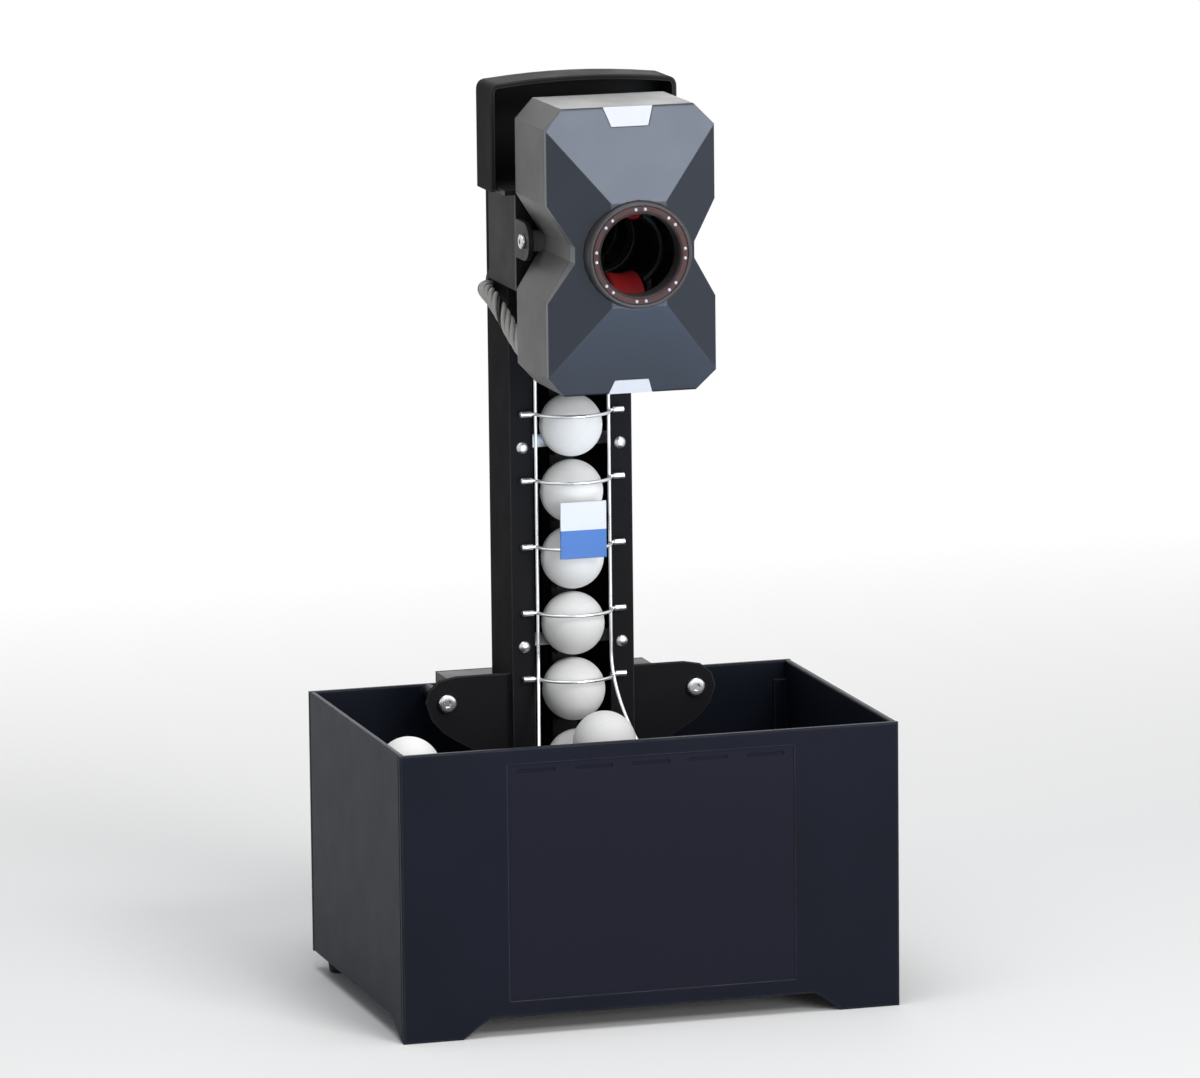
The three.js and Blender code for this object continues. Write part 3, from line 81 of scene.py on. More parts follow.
STAND_Y_MM = 94.14
GAP_MM = 0.3
HOOP_RISE_MM = 8.5
HOOP_COUNT = 6
CAGE_HALF_MM = 24.0
CAGE_FOOT_MM = 33.0
CAGE_STAND_MM = 3.3
CAGE_FRONT_MM = 2.3
CAGE_FLARE_MM = (205.0, 13.0, 44.0)  # where a wire starts to splay, and how far out and forward it goes
NOZZLE_BORE_MM = 25.2
LAMP_CIRCLE_MM = 56.7
LAMP_PAIRS = 8
INSET_MM = (92.0, 22.0, 170.0)  # half width, foot and top
BOARD_FACE_MM = 4.8
LOOM_HOLE_MM = (79.14, 435.0)  # Y and Z of its middle
LOOM_ROUTE_MM = [
    (-30, -13, 430), (-38, -15, 433.5), (-45, -20.5, 434.5), (-48, -32, 434), (-47.5, -46, 430.5),
    (-45, -60, 422), (-41, -72, 410), (-35, -82, 398), (-28, -88, 393), (-22, -92, 396),
    (-20, -96, 407), (-20, -100, 424), (-20, -104, 438), (-20, -104, 444.3),
]

# Small forms of the pieces made here, in millimetres or as a share of the piece's size

BALL_TURN = 2.4
BALL_LEAN = 0.8
SEAM_ANGLE = 0.007
NOZZLE_LIP_MM = 1.5
LAMP_GROOVE_MM = 2.0
LAMP_SHEET_MM = (1.0, 1.75, 0.2)  # thickness, half width and rounding
LAMP_PAIR_ANGLE = np.radians(12.0)
# A black sheet behind the head's rear slots, as painted shade inside the head
SLOT_SHADE_SHEET_MM = (9.5, 41.5, 26.4, 25.9)  # left, right, front and rear
SLOT_RUN_MM = 32.0
SHADE_SHEET_CORNER_MM = 2.0
TYRE_WAIST_MM = 1.4
TYRE_WAIST_SHARE = 0.8
TYRE_EDGE_MM = 0.9
TYRE_FLAT_SHARE = 0.85
TYRE_WALL_MM = 7.0
SLEEVE_MM = (26.5, 33.9)  # inner and outer end
SLEEVE_EDGE_MM = 0.5
HOOP_BEND_MM = 2.0
LOOM_POINTS = 420
LOOM_KNOT_STEPS = 24
LOOM_HELD = 84  # points that stay with the mast
GROMMET_MM = [(-36.2, 7.5), (-36.9, 7.95), (-40.05, 7.95), (-40.05, 10.0), (-40.9, 9.8), (-41.4, 9.0)]
GROMMET_BORE_MM = 6.3
SOCKET_SHARE = 0.38
SOCKET_FLOOR_SHARE = 0.45
PAN_FLAT_SHARE = 0.72
PAN_WALL_SHARE = 0.55
EAR_SCREW_MM = (3.1, 3.1)  # height of the head and radius of the shank
PIVOT_BOLT_MM = (2.3, 2.4)
COVER_SCREW_MM = (1.4, 0.9, 0.6)  # height of the head, radius and length of the shank
COVER_MARGIN_MM = 7.0
RIVETS_MM = [(x, z) for x in (-32, 32) for z in (209.3, 336.6)]
RIVET_RISE_SHARE = 0.58
RIVET_STAND_MM = 0.1
FOOT_EDGE_MM = 1.2
FOOT_TIP_SHARE = 0.8125

# Points round the pieces whose count isn't a setting

CORE_SIDES = 10
WIRE_SIDES = 12
LAMP_SIDES = 16
RIVET_SIDES = 24
SCREW_SIDES = 36
GROMMET_SIDES = 40

# Numbers of the finishes, with scales as clouds to a metre

CLOUD_SCALE = 14.0
SMUDGE_SCALE = 45.0
PATCH_SCALE = 60.0
GRAIN_DEPTH = 0.0004  # in metres
ROUNDING_SAMPLES = 4
WEAR_AND_HIGHLIGHT_REACH = 1.6  # as a share of the edge's rounding
WEAR_AND_HIGHLIGHT_TURN = (0.86, 0.985)  # cosines of the turn at which the edges' wear and painted highlight are full and gone
MIX_OWN, MIX_OVER, MIX_RESULT = 6, 7, 2  # colour inputs and output of a mix

# Stage and camera, in metres

FLOOR_HALF = 14.0
WHITE_BEHIND = (0.3, 1.4)
WHITE_FAR = (2.8, 4.6)
SKY_COLOUR = (0.94, 0.96, 1.0, 1)
SKY_STRENGTH = 0.25
CAMERA_PLACE = (-1.444, -4.882, 1.1894)
CAMERA_AIM = (0.0, -0.02, 0.287)
CAMERA_REACH = 60.0
CAMERA_SENSOR_MM = 36.0
CAMERA_LENS_MM = 248.0
CAMERA_ROLL = np.radians(-0.63)


def centre(node):
    """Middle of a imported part's box."""
    low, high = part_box(node)
    return np.array((low + high) / 2)


def loom_path():
    """Middle line of the cable loom, from inside the mast to the foot of the yoke."""
    knots = (np.array(LOOM_ROUTE_MM) + (0, STAND_Y_MM, 0)) * MM
    return even(catmull_rom(knots, LOOM_KNOT_STEPS), LOOM_POINTS)


# Surfaces worked out as arrays


def grid_faces(rows, columns):
    """Four-sided faces between neighbouring points of a grid whose last column meets its first."""
    index = np.arange(rows * columns).reshape(rows, columns)
    following = np.roll(index, -1, axis=1)
    return np.stack([index[:-1], following[:-1], following[1:], index[1:]], axis=-1).reshape(-1, 4)


def piece_from(name, grids, sharp=35.0, values=None):
    """One mesh object from grids of points, each (rows, columns, 3), whose columns close into rings.

    The values are a name and one array (rows, columns) for each grid, which the mesh keeps at its points.
    """
    points = np.concatenate([grid.reshape(-1, 3) for grid in grids])
    starts = np.cumsum([0] + [grid.shape[0] * grid.shape[1] for grid in grids[:-1]])
    faces = np.concatenate([grid_faces(*grid.shape[:2]) + start for grid, start in zip(grids, starts)])
    mesh = bpy.data.meshes.new(name)
    mesh.from_pydata(points.tolist(), [], faces.tolist())
    if values:
        label, arrays = values
        flat = np.concatenate([array.ravel() for array in arrays]).astype(np.float32)
        mesh.attributes.new(label, "FLOAT", "POINT").data.foreach_set("value", flat)
    work = bmesh.new()
    work.from_mesh(mesh)
    bmesh.ops.remove_doubles(work, verts=work.verts, dist=1e-7)
    bmesh.ops.dissolve_degenerate(work, edges=work.edges, dist=1e-8)
    bmesh.ops.recalc_face_normals(work, faces=work.faces)
    work.to_mesh(mesh)
    work.free()
    mesh.shade_smooth()
    mesh.set_sharp_from_angle(angle=np.radians(sharp))
    obj = bpy.data.objects.new(name, mesh)
    bpy.context.scene.collection.objects.link(obj)
    return obj


def square_to(axis):
    """Two unit directions square to an axis and to each other."""
    other = Z_AXIS if abs(axis[2]) < 0.9 else X_AXIS
    across = np.cross(other, axis)
    across /= np.linalg.norm(across)
    return across, np.cross(axis, across)


def revolved(profile, axis, middle, steps):
    """A profile turned about an axis.

    Point (r, t) of the profile at angle a lies at middle + t axis + r (cos a u + sin a v).
    """
    axis = np.asarray(axis, float)
    u, v = square_to(axis)
    angle = np.linspace(0, TURN, steps, endpoint=False)
    ring = np.cos(angle)[:, None] * u + np.sin(angle)[:, None] * v
    radius, along = np.asarray(profile, float).T
    return np.asarray(middle) + along[:, None, None] * axis + radius[:, None, None] * ring


def rounded(corners, radius, steps, closed=True):
    """An outline whose corners give way to short curves.

    Each is the quadratic curve between the points that lie one radius, or under half an edge, before and
    after the corner.
    """
    corners = np.asarray(corners, float)
    before, after = np.roll(corners, 1, axis=0) - corners, np.roll(corners, -1, axis=0) - corners
    t = np.linspace(0, 1, steps)[None, :, None]

    def cut(way):
        length = np.linalg.norm(way, axis=1, keepdims=True)
        return corners + way / length * np.minimum(radius, 0.45 * length)

    start, end = cut(before)[:, None], cut(after)[:, None]
    curve = (1 - t) ** 2 * start + 2 * t * (1 - t) * corners[:, None] + t**2 * end
    if not closed:
        curve[0], curve[-1] = corners[0], corners[-1]
    line = curve.reshape(-1, corners.shape[1])
    return np.concatenate([line, line[:1]]) if closed else line


def catmull_rom(knots, steps):
    """A smooth line through knots.

    Between two knots it is the cubic whose slope at each is half the way from the knot before it to the knot
    after it.
    """
    knots = np.asarray(knots, float)
    padded = np.concatenate([2 * knots[:1] - knots[1:2], knots, 2 * knots[-1:] - knots[-2:-1]])
    a, b, c, d = padded[:-3], padded[1:-2], padded[2:-1], padded[3:]
    t = np.linspace(0, 1, steps, endpoint=False)[None, :, None]
    a, b, c, d = (p[:, None] for p in (a, b, c, d))
    square, cube = 2 * a - 5 * b + 4 * c - d, 3 * b - a - 3 * c + d
    line = 0.5 * (2 * b + (c - a) * t + square * t**2 + cube * t**3)
    return np.concatenate([line.reshape(-1, 3), knots[-1:]])


def even(path, count):
    """The same line with its points spaced evenly by length."""
    reach = lengths_along(path)
    wanted = np.linspace(0, reach[-1], count)
    return np.stack([np.interp(wanted, reach, path[:, k]) for k in range(3)], axis=1)


def lengths_along(path):
    """Distance from a line's start to each of its points."""
    steps = np.linalg.norm(np.diff(path, axis=0), axis=1)
    return np.concatenate([[0.0], np.cumsum(steps)])


def frame_along(path, reference):
    """Two unit directions square to a path at each point, the first also square to a reference direction."""
    ahead = np.gradient(path, axis=0)
    ahead /= np.linalg.norm(ahead, axis=1, keepdims=True)
    u = np.cross(reference, ahead)
    u /= np.linalg.norm(u, axis=1, keepdims=True)
    return u, np.cross(ahead, u)


def carried(path, radius, sides, reference):
    """A ring carried along a path, square to it.

    Its point at angle a lies at path + r (cos a u + sin a v), where u is square to the path and to a
    reference direction. The radius may change with place and angle. Both ends close in a point.
    """
    path = np.asarray(path, float)
    u, v = frame_along(path, reference)
    angle = np.linspace(0, TURN, sides, endpoint=False)
    ring = np.cos(angle)[None, :, None] * u[:, None] + np.sin(angle)[None, :, None] * v[:, None]
    grid = path[:, None] + np.broadcast_to(radius, ring.shape[:2])[..., None] * ring
    cap = np.ones((1, sides, 1))
    return np.concatenate([cap * path[0], grid, cap * path[-1]])


def screw_head(middle, axis, radius, height, shank, reach, steps=SCREW_SIDES):
    """A pan head with a hexagon socket, on its shank.

    The socket's radius at angle a is its half width over the cosine of the angle to the middle of the nearest
    flat. Every other ring is round.
    """
    axis = np.asarray(axis, float)
    u, v = square_to(axis)
    angle = np.linspace(0, TURN, steps, endpoint=False)
    flat = np.mod(angle, TURN / 6) - TURN / 12
    socket = SOCKET_SHARE * radius / np.cos(flat)
    floor = SOCKET_FLOOR_SHARE * height
    tilt = np.linspace(0, np.pi / 2, 6)
    dome_radius = radius * (PAN_FLAT_SHARE + (1 - PAN_FLAT_SHARE) * np.sin(tilt))
    dome_height = height * (PAN_WALL_SHARE + (1 - PAN_WALL_SHARE) * np.cos(tilt))
    rows = [(0.0, floor), (socket, floor), (socket, height), *zip(dome_radius, dome_height)]
    rows += [(radius, 0.0), (shank, 0.0), (shank, -reach), (0.0, -reach)]
    rings = np.array([np.broadcast_to(r, steps) for r, _ in rows])
    along = np.array([t for _, t in rows])
    ring = np.cos(angle)[:, None] * u + np.sin(angle)[:, None] * v
    return np.asarray(middle) + along[:, None, None] * axis + rings[..., None] * ring


# Finishes


def node_of(tree, kind, **values):
    """A shader node with its plain settings."""
    node = tree.nodes.new(kind)
    for key, value in values.items():
        setattr(node, key, value)
    return node


def own_place(tree):
    """Where a point lies in its object's own space."""
    return node_of(tree, "ShaderNodeTexCoord").outputs["Object"]


def coordinate(tree, axis):
    """One coordinate of a point in its object's own space."""
    split = node_of(tree, "ShaderNodeSeparateXYZ")
    tree.links.new(own_place(tree), split.inputs["Vector"])
    return split.outputs[axis]


def noise_of(tree, scale, detail=3.0, stretch=(1, 1, 1)):
    """Cloudy noise over an object's own space, with clouds of about one over the scale in metres."""
    mapping = node_of(tree, "ShaderNodeMapping")
    mapping.inputs["Scale"].default_value = stretch
    noise = node_of(tree, "ShaderNodeTexNoise")
    noise.inputs["Scale"].default_value = scale
    noise.inputs["Detail"].default_value = detail
    tree.links.new(own_place(tree), mapping.inputs["Vector"])
    tree.links.new(mapping.outputs["Vector"], noise.inputs["Vector"])
    return noise.outputs["Fac"]


def spread(tree, factor, low, high, start=0.3, end=0.7):
    """A factor stretched so that its start becomes low and its end becomes high."""
    span = node_of(tree, "ShaderNodeMapRange")
    span.inputs["From Min"].default_value, span.inputs["From Max"].default_value = start, end
    span.inputs["To Min"].default_value, span.inputs["To Max"].default_value = low, high
    tree.links.new(factor, span.inputs["Value"])
    return span.outputs["Result"]


def math_of(tree, operation, first, second):
    """One step of arithmetic on two factors, of which the second may be a number."""
    node = node_of(tree, "ShaderNodeMath", operation=operation)
    tree.links.new(first, node.inputs[0])
    if isinstance(second, (int, float)):
        node.inputs[1].default_value = second
    else:
        tree.links.new(second, node.inputs[1])
    return node.outputs["Value"]


def overlay(material, other, factor_from):
    """Lay another colour over a material's own, where a factor built by factor_from(tree) is one."""
    tree = material.node_tree
    target = tree.nodes["Principled BSDF"].inputs["Base Color"]
    mix = node_of(tree, "ShaderNodeMix", data_type="RGBA")
    own, over = mix.inputs[MIX_OWN], mix.inputs[MIX_OVER]
    if target.is_linked:
        tree.links.new(target.links[0].from_socket, own)
    else:
        own.default_value = target.default_value
    over.default_value = (*other, 1)
    tree.links.new(factor_from(tree), mix.inputs["Factor"])
    tree.links.new(mix.outputs[MIX_RESULT], target)


def cloudy(scale, stretch):
    """A factor that drifts between nought and one in soft clouds."""
    return lambda tree: spread(tree, noise_of(tree, scale, 4.0, stretch), 0.0, 1.0)


def rounded_direction(tree, radius):
    """The direction that a surface faces, with its edges rounded."""
    bevel = node_of(tree, "ShaderNodeBevel", samples=ROUNDING_SAMPLES)
    bevel.inputs["Radius"].default_value = radius
    return bevel.outputs["Normal"]


def worn_and_highlit_edge(rounding, amount):
    """A factor that rises in patches on edges, where the rounded direction of the surface leaves its own."""

    # A lighter colour goes where this rises: partly paint worn thin, partly a painted highlight on the edge.
    def build(tree):
        own = node_of(tree, "ShaderNodeNewGeometry")
        turn = node_of(tree, "ShaderNodeVectorMath", operation="DOT_PRODUCT")
        tree.links.new(rounded_direction(tree, rounding), turn.inputs[0])
        tree.links.new(own.outputs["Normal"], turn.inputs[1])
        edge = spread(tree, turn.outputs["Value"], amount, 0.0, *WEAR_AND_HIGHLIGHT_TURN)
        return math_of(tree, "MULTIPLY", edge, spread(tree, noise_of(tree, PATCH_SCALE), 0.45, 1.0))

    return build


def between(axis, low, high):
    """A factor that is one where a coordinate lies between two values."""

    def build(tree):
        value = coordinate(tree, axis)
        above = math_of(tree, "GREATER_THAN", value, low)
        return math_of(tree, "MULTIPLY", above, math_of(tree, "LESS_THAN", value, high))

    return build


def both(first, second):
    """A factor that is the product of two others."""
    return lambda tree: math_of(tree, "MULTIPLY", first(tree), second(tree))


def stored(name, low, high):
    """A factor that is one where a value kept at the points of a mesh lies between low and high."""

    def build(tree):
        value = node_of(tree, "ShaderNodeAttribute", attribute_name=name).outputs["Fac"]
        above = math_of(tree, "GREATER_THAN", value, low)
        return math_of(tree, "MULTIPLY", above, math_of(tree, "LESS_THAN", value, high))

    return build


def finish(name, colour, roughness, metallic=0.0, level=0.5, clouds=0.1, smudge=0.05, grain=0.0,
           grain_scale=900.0, stretch=(1, 1, 1), rounding=0.0, wear_and_highlight=0.0, worn_and_highlit=(0.2, 0.2, 0.2), glow=0.0):
    """A material with soft clouds in its colour, smudges in its gloss and fine grain.

    Its edges shade as if rounded, and may be lighter, partly from wear and partly as a painted highlight.
    """
    material = bpy.data.materials.new(name)
    material.use_nodes = True
    tree = material.node_tree
    shader = tree.nodes["Principled BSDF"]
    colour = np.array(colour)
    shader.inputs["Base Color"].default_value = (*(colour * (1 - clouds)), 1)
    shader.inputs["Metallic"].default_value = metallic
    shader.inputs["Specular IOR Level"].default_value = level
    if glow:
        shader.inputs["Emission Color"].default_value = (*colour, 1)
        shader.inputs["Emission Strength"].default_value = glow
    overlay(material, np.minimum(colour * (1 + clouds), 1.0), cloudy(CLOUD_SCALE, stretch))
    # Lighter edges: partly paint worn thin, partly a painted highlight.
    if wear_and_highlight:
        overlay(material, worn_and_highlit, worn_and_highlit_edge(WEAR_AND_HIGHLIGHT_REACH * rounding, wear_and_highlight))
    smears = noise_of(tree, SMUDGE_SCALE, 5.0, stretch)
    smudges = spread(tree, smears, roughness - smudge, roughness + smudge)
    tree.links.new(smudges, shader.inputs["Roughness"])
    bump = node_of(tree, "ShaderNodeBump")
    bump.inputs["Strength"].default_value = grain
    bump.inputs["Distance"].default_value = GRAIN_DEPTH
    tree.links.new(noise_of(tree, grain_scale, 3.0, stretch), bump.inputs["Height"])
    if rounding:
        tree.links.new(rounded_direction(tree, rounding), bump.inputs["Normal"])
    tree.links.new(bump.outputs["Normal"], shader.inputs["Normal"])
    return material


def dress(obj, material, body=None):
    """Give a new piece its material and the body that it rides on."""
    obj.data.materials.append(material)
    if body:
        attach(obj, body)


def material_named(name):
    """A finish that is already made."""
    found = bpy.data.materials.get(name)
    if found is None:
        raise RuntimeError(f"the material {name} isn't there yet: run the finishes first")
    return found


def colour_prop(name, description, default):
    """A colour that a user may change."""
    return FloatVectorProperty(name=name, description=description, default=default, subtype="COLOR",
                               min=0, max=1)


def length_prop(name, description, default):
    """A length that a user may change."""
    return FloatProperty(name=name, description=description, default=default, min=0, unit="LENGTH",
                         subtype="DISTANCE")


# Settings


class RobotSizes(bpy.types.PropertyGroup):
    """Sizes of the pieces that are made here."""

    edge: length_prop("Edge rounding", "Radius that the edges of sheet parts shade with", 0.0009)
    fillet: length_prop("Nozzle fillet", "Radius of the nozzle ring's corners", 0.0008)
    lamp: length_prop("Lamp radius", "Radius of one small lamp in the nozzle", 0.001)
    wire: length_prop("Wire radius", "Radius of the cage's wire", 0.0011)
    sleeve: length_prop("Sleeve radius", "Radius of the sleeves on the hoops' feet", 0.0019)
    loom: length_prop("Loom radius", "Radius round all strands of the cable loom", 0.0052)
    lay: length_prop("Strand lay", "Length of the loom in which a strand goes once round", 0.038)
    slack: FloatProperty(name="Strand slack", description="A strand's thickness over its room",
                         default=0.92, max=1)
    cover_screw: length_prop("Cover screw radius", "Head radius of the rear cover's screws", 0.0028)
    rivet: length_prop("Rivet radius", "Radius of the mast's rivet heads", 0.004)
    strands: IntProperty(name="Strands", description="Strands in the cable loom", default=6, min=3, max=8)
    ball_steps: IntProperty(name="Ball steps", description="Points round a ball", default=64, min=12)
    turn_steps: IntProperty(name="Turn steps", description="Points round a turned piece", default=96, min=12)


class RobotColours(bpy.types.PropertyGroup):
    """Colours of the finishes."""

    bin: colour_prop("Bin", "Panels of the bin", (0.0085, 0.0102, 0.0178))
    inset: colour_prop("Bin inset", "Middle panel of the bin's front", (0.0115, 0.0118, 0.0215))
    dark_sheet: colour_prop("Dark sheet", "Base plate, tray and barrel", (0.014, 0.015, 0.018))
    mast: colour_prop("Mast paint", "Mast and its ears", (0.0155, 0.0155, 0.0172))
    bracket: colour_prop("Bracket paint", "Bracket at the top of the mast", (0.05, 0.05, 0.049))
    shell: colour_prop("Shell grey", "Head shell", (0.125, 0.125, 0.123))
    hood: colour_prop("Hood grey", "Hood behind the head", (0.018, 0.018, 0.0185))
    slate: colour_prop("Slate", "Nose fairing", (0.037, 0.043, 0.055))
    black: colour_prop("Black plastic", "Housing, pulleys, hubs and elbow", (0.011, 0.0115, 0.0125))
    nozzle: colour_prop("Nozzle", "Nozzle ring", (0.034, 0.031, 0.032))
    lamp_board: colour_prop("Lamp board", "Ring that carries the lamps", (0.04, 0.011, 0.009))
    steel: colour_prop("Steel", "Screws, shafts and motors", (0.6, 0.61, 0.62))
    wire: colour_prop("Bright wire", "Wire of the cage", (0.8, 0.81, 0.82))
    ball: colour_prop("Ball", "Table tennis balls", (0.87, 0.87, 0.86))
    seam: colour_prop("Ball seam", "Line where a ball's halves meet", (0.8, 0.8, 0.79))
    tag: colour_prop("Tag", "Plate on the cage", (0.74, 0.77, 0.82))
    tag_band: colour_prop("Tag band", "Lower band of the plate on the cage", (0.035, 0.17, 0.55))
    light: colour_prop("Light", "Windows and lamps", (0.52, 0.535, 0.565))
    tyre: colour_prop("Tyre", "Throwing wheels' tyres", (0.24, 0.008, 0.01))
    belt: colour_prop("Belt", "Lift belt", (0.02, 0.02, 0.021))
    board: colour_prop("Board", "Control board", (0.015, 0.11, 0.04))
    strand: colour_prop("Strand", "Pale strands of the cable loom", (0.42, 0.42, 0.395))
    # Colour of the lighter edges: partly paint rubbed thin, partly a painted highlight.
    worn_and_highlit: colour_prop("Worn and highlit edge", "Paint rubbed thin on edges, with a painted highlight there", (0.13, 0.135, 0.14))
    floor: colour_prop("Floor", "Floor under the robot", (0.86, 0.86, 0.86))


# Operators


class ROBOT_OT_finishes(bpy.types.Operator):
    """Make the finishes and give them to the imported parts"""

    bl_idname = "robot.finishes"
    bl_label = "Finishes"

    def execute(self, context):
        c, s = context.scene.robot_colours, context.scene.robot_sizes
        # The lighter edges of these finishes are partly wear and partly a painted highlight.
        painted = dict(level=0.06, grain=0.16, rounding=s.edge, wear_and_highlight=0.55, worn_and_highlit=c.worn_and_highlit)
        enamel = dict(painted, level=0.05, grain=0.05, wear_and_highlight=0.45, smudge=0.02)
        moulded = dict(level=0.15, grain=0.12, rounding=s.edge)
        rubber = dict(level=0.3, grain=0.3, grain_scale=1400.0, clouds=0.2)
        turned = dict(metallic=1.0, clouds=0.06, smudge=0.08, grain=0.05, stretch=(0.05, 1, 1))
        made = [
            finish("bin_panel", c.bin, 0.4, **enamel),
            finish("bin_front", c.bin, 0.4, **enamel),
            finish("dark_satin", c.dark_sheet, 0.42, **painted),
            finish("mast_paint", c.mast, 0.6, **dict(painted, level=0.008)),
            finish("bracket_paint", c.bracket, 0.58, **painted),
            finish("shell_satin", c.shell, 0.36, **dict(moulded, level=0.07, grain=0.06)),
            finish("hood_satin", c.hood, 0.5, **dict(moulded, level=0.01, wear_and_highlight=0.6, worn_and_highlit=c.worn_and_highlit)),
            finish("slate_gloss", c.slate, 0.31, metallic=0.7, clouds=0.05, smudge=0.012, rounding=s.edge,
                   wear_and_highlight=0.3, worn_and_highlit=c.worn_and_highlit),
            finish("black_satin", c.black, 0.45, **moulded),
            # A black sheet behind the head's rear slots, as painted shade inside the head
            finish("gauze_weave", c.black, 0.8, level=0.1, grain=0.5, grain_scale=2600.0),
            finish("nozzle_satin", c.nozzle, 0.38, level=0.3, grain=0.05),
            finish("lamp_board", c.lamp_board, 0.5, level=0.3, clouds=0.25),
            finish("brushed_steel", c.steel, 0.3, **turned),
            finish("wire_chrome", c.wire, 0.3, metallic=0.85, clouds=0.05, grain=0.04),
            finish("ball_matt", c.ball, 0.5, level=0.1, clouds=0.015, grain=0.03),
            finish("tag_print", c.tag, 0.4, clouds=0.03),
            finish("light_clear", c.light, 0.45, level=0.1, clouds=0.04, glow=0.08),
            finish("tyre_rubber", c.tyre, 0.65, **rubber),
            finish("belt_grip", c.belt, 0.72, **rubber),
            finish("foot_grip", c.black, 0.8, **rubber),
            finish("board_green", c.board, 0.4, clouds=0.15),
            finish("pale_strand", c.strand, 0.45, level=0.3, clouds=0.12, grain=0.04),
        ]
        made = {material.name: material for material in made}
        self.second_colours(made, c)
        self.give(made)
        return {"FINISHED"}

    def second_colours(self, made, c):
        """Lay on the second colours.

        They are the tag's lower band, the front's middle panel, a ball's seam, the loom's dark strand and
        core, and the black parts of the control board. The core's black shows only in the gaps between
        strands, as painted shade.
        """
        low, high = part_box("tag_plate")
        overlay(made["tag_print"], c.tag_band, between("Z", low.z, (low.z + high.z) / 2))
        half, foot, top = np.array(INSET_MM) * MM
        overlay(made["bin_front"], c.inset, both(between("X", -half, half), between("Z", foot, top)))
        overlay(made["ball_matt"], c.seam, stored("latitude", -SEAM_ANGLE, SEAM_ANGLE))
        # The loom's core and one strand turn black; the core's black is painted shade in the gaps between
        # strands.
        overlay(made["pale_strand"], c.black, stored("dark", 0.5, 1.5))
        low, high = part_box("control_board")
        overlay(made["board_green"], c.black, between("Y", low.y + BOARD_FACE_MM * MM, high.y + MM))

    def give(self, made):
        """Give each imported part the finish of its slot, or its own."""
        of_slot = {
            "bin_navy": "bin_panel", "dark_sheet": "dark_satin", "dark_barrel": "dark_satin",
            "grey_paint": "mast_paint", "hood_grey": "shell_satin", "slate_fairing": "slate_gloss",
            "black_plastic": "black_satin", "bright_steel": "brushed_steel", "bright_wire": "wire_chrome",
            "ball_white": "ball_matt", "tag_white": "tag_print", "light_window": "light_clear",
            "led_white": "light_clear", "tyre_red": "tyre_rubber", "belt_rubber": "belt_grip",
            "foot_rubber": "foot_grip", "circuit_board": "board_green", "loom_grey": "pale_strand",
        }
        own = {"bin_front_panel": "bin_front", "hood": "hood_satin", "nozzle_ring": "nozzle_satin",
               "head_bracket": "bracket_paint"}
        for part in frame["record"]["subparts"]:
            material = made[own.get(part["node"], of_slot[part["material_slot"]])]
            for slot in nodes[part["node"]].material_slots:
                slot.link = "OBJECT"
                slot.material = material


class ROBOT_OT_balls(bpy.types.Operator):
    """Make the balls in the lift, in the funnel and in the bin, each with a fine seam round it"""

    bl_idname = "robot.balls"
    bl_label = "Balls"

    def execute(self, context):
        steps = context.scene.robot_sizes.ball_steps
        angle = np.linspace(-np.pi / 2, np.pi / 2, steps // 2 + 1)
        latitude = np.broadcast_to(angle[:, None], (len(angle), steps))
        for count, node in enumerate(BALL_NODES):
            low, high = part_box(node)
            radius = (high.z - low.z) / 2
            profile = np.stack([radius * np.cos(angle), radius * np.sin(angle)], axis=1)
            turn = BALL_TURN * count
            lean = np.array([np.cos(turn), np.sin(turn), BALL_LEAN])
            grid = revolved(profile, lean / np.linalg.norm(lean), centre(node), steps)
            ball = piece_from("round_" + node, [grid], sharp=180.0, values=("latitude", [latitude]))
            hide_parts(node)
            dress(ball, material_named("ball_matt"), "stand")
        return {"FINISHED"}


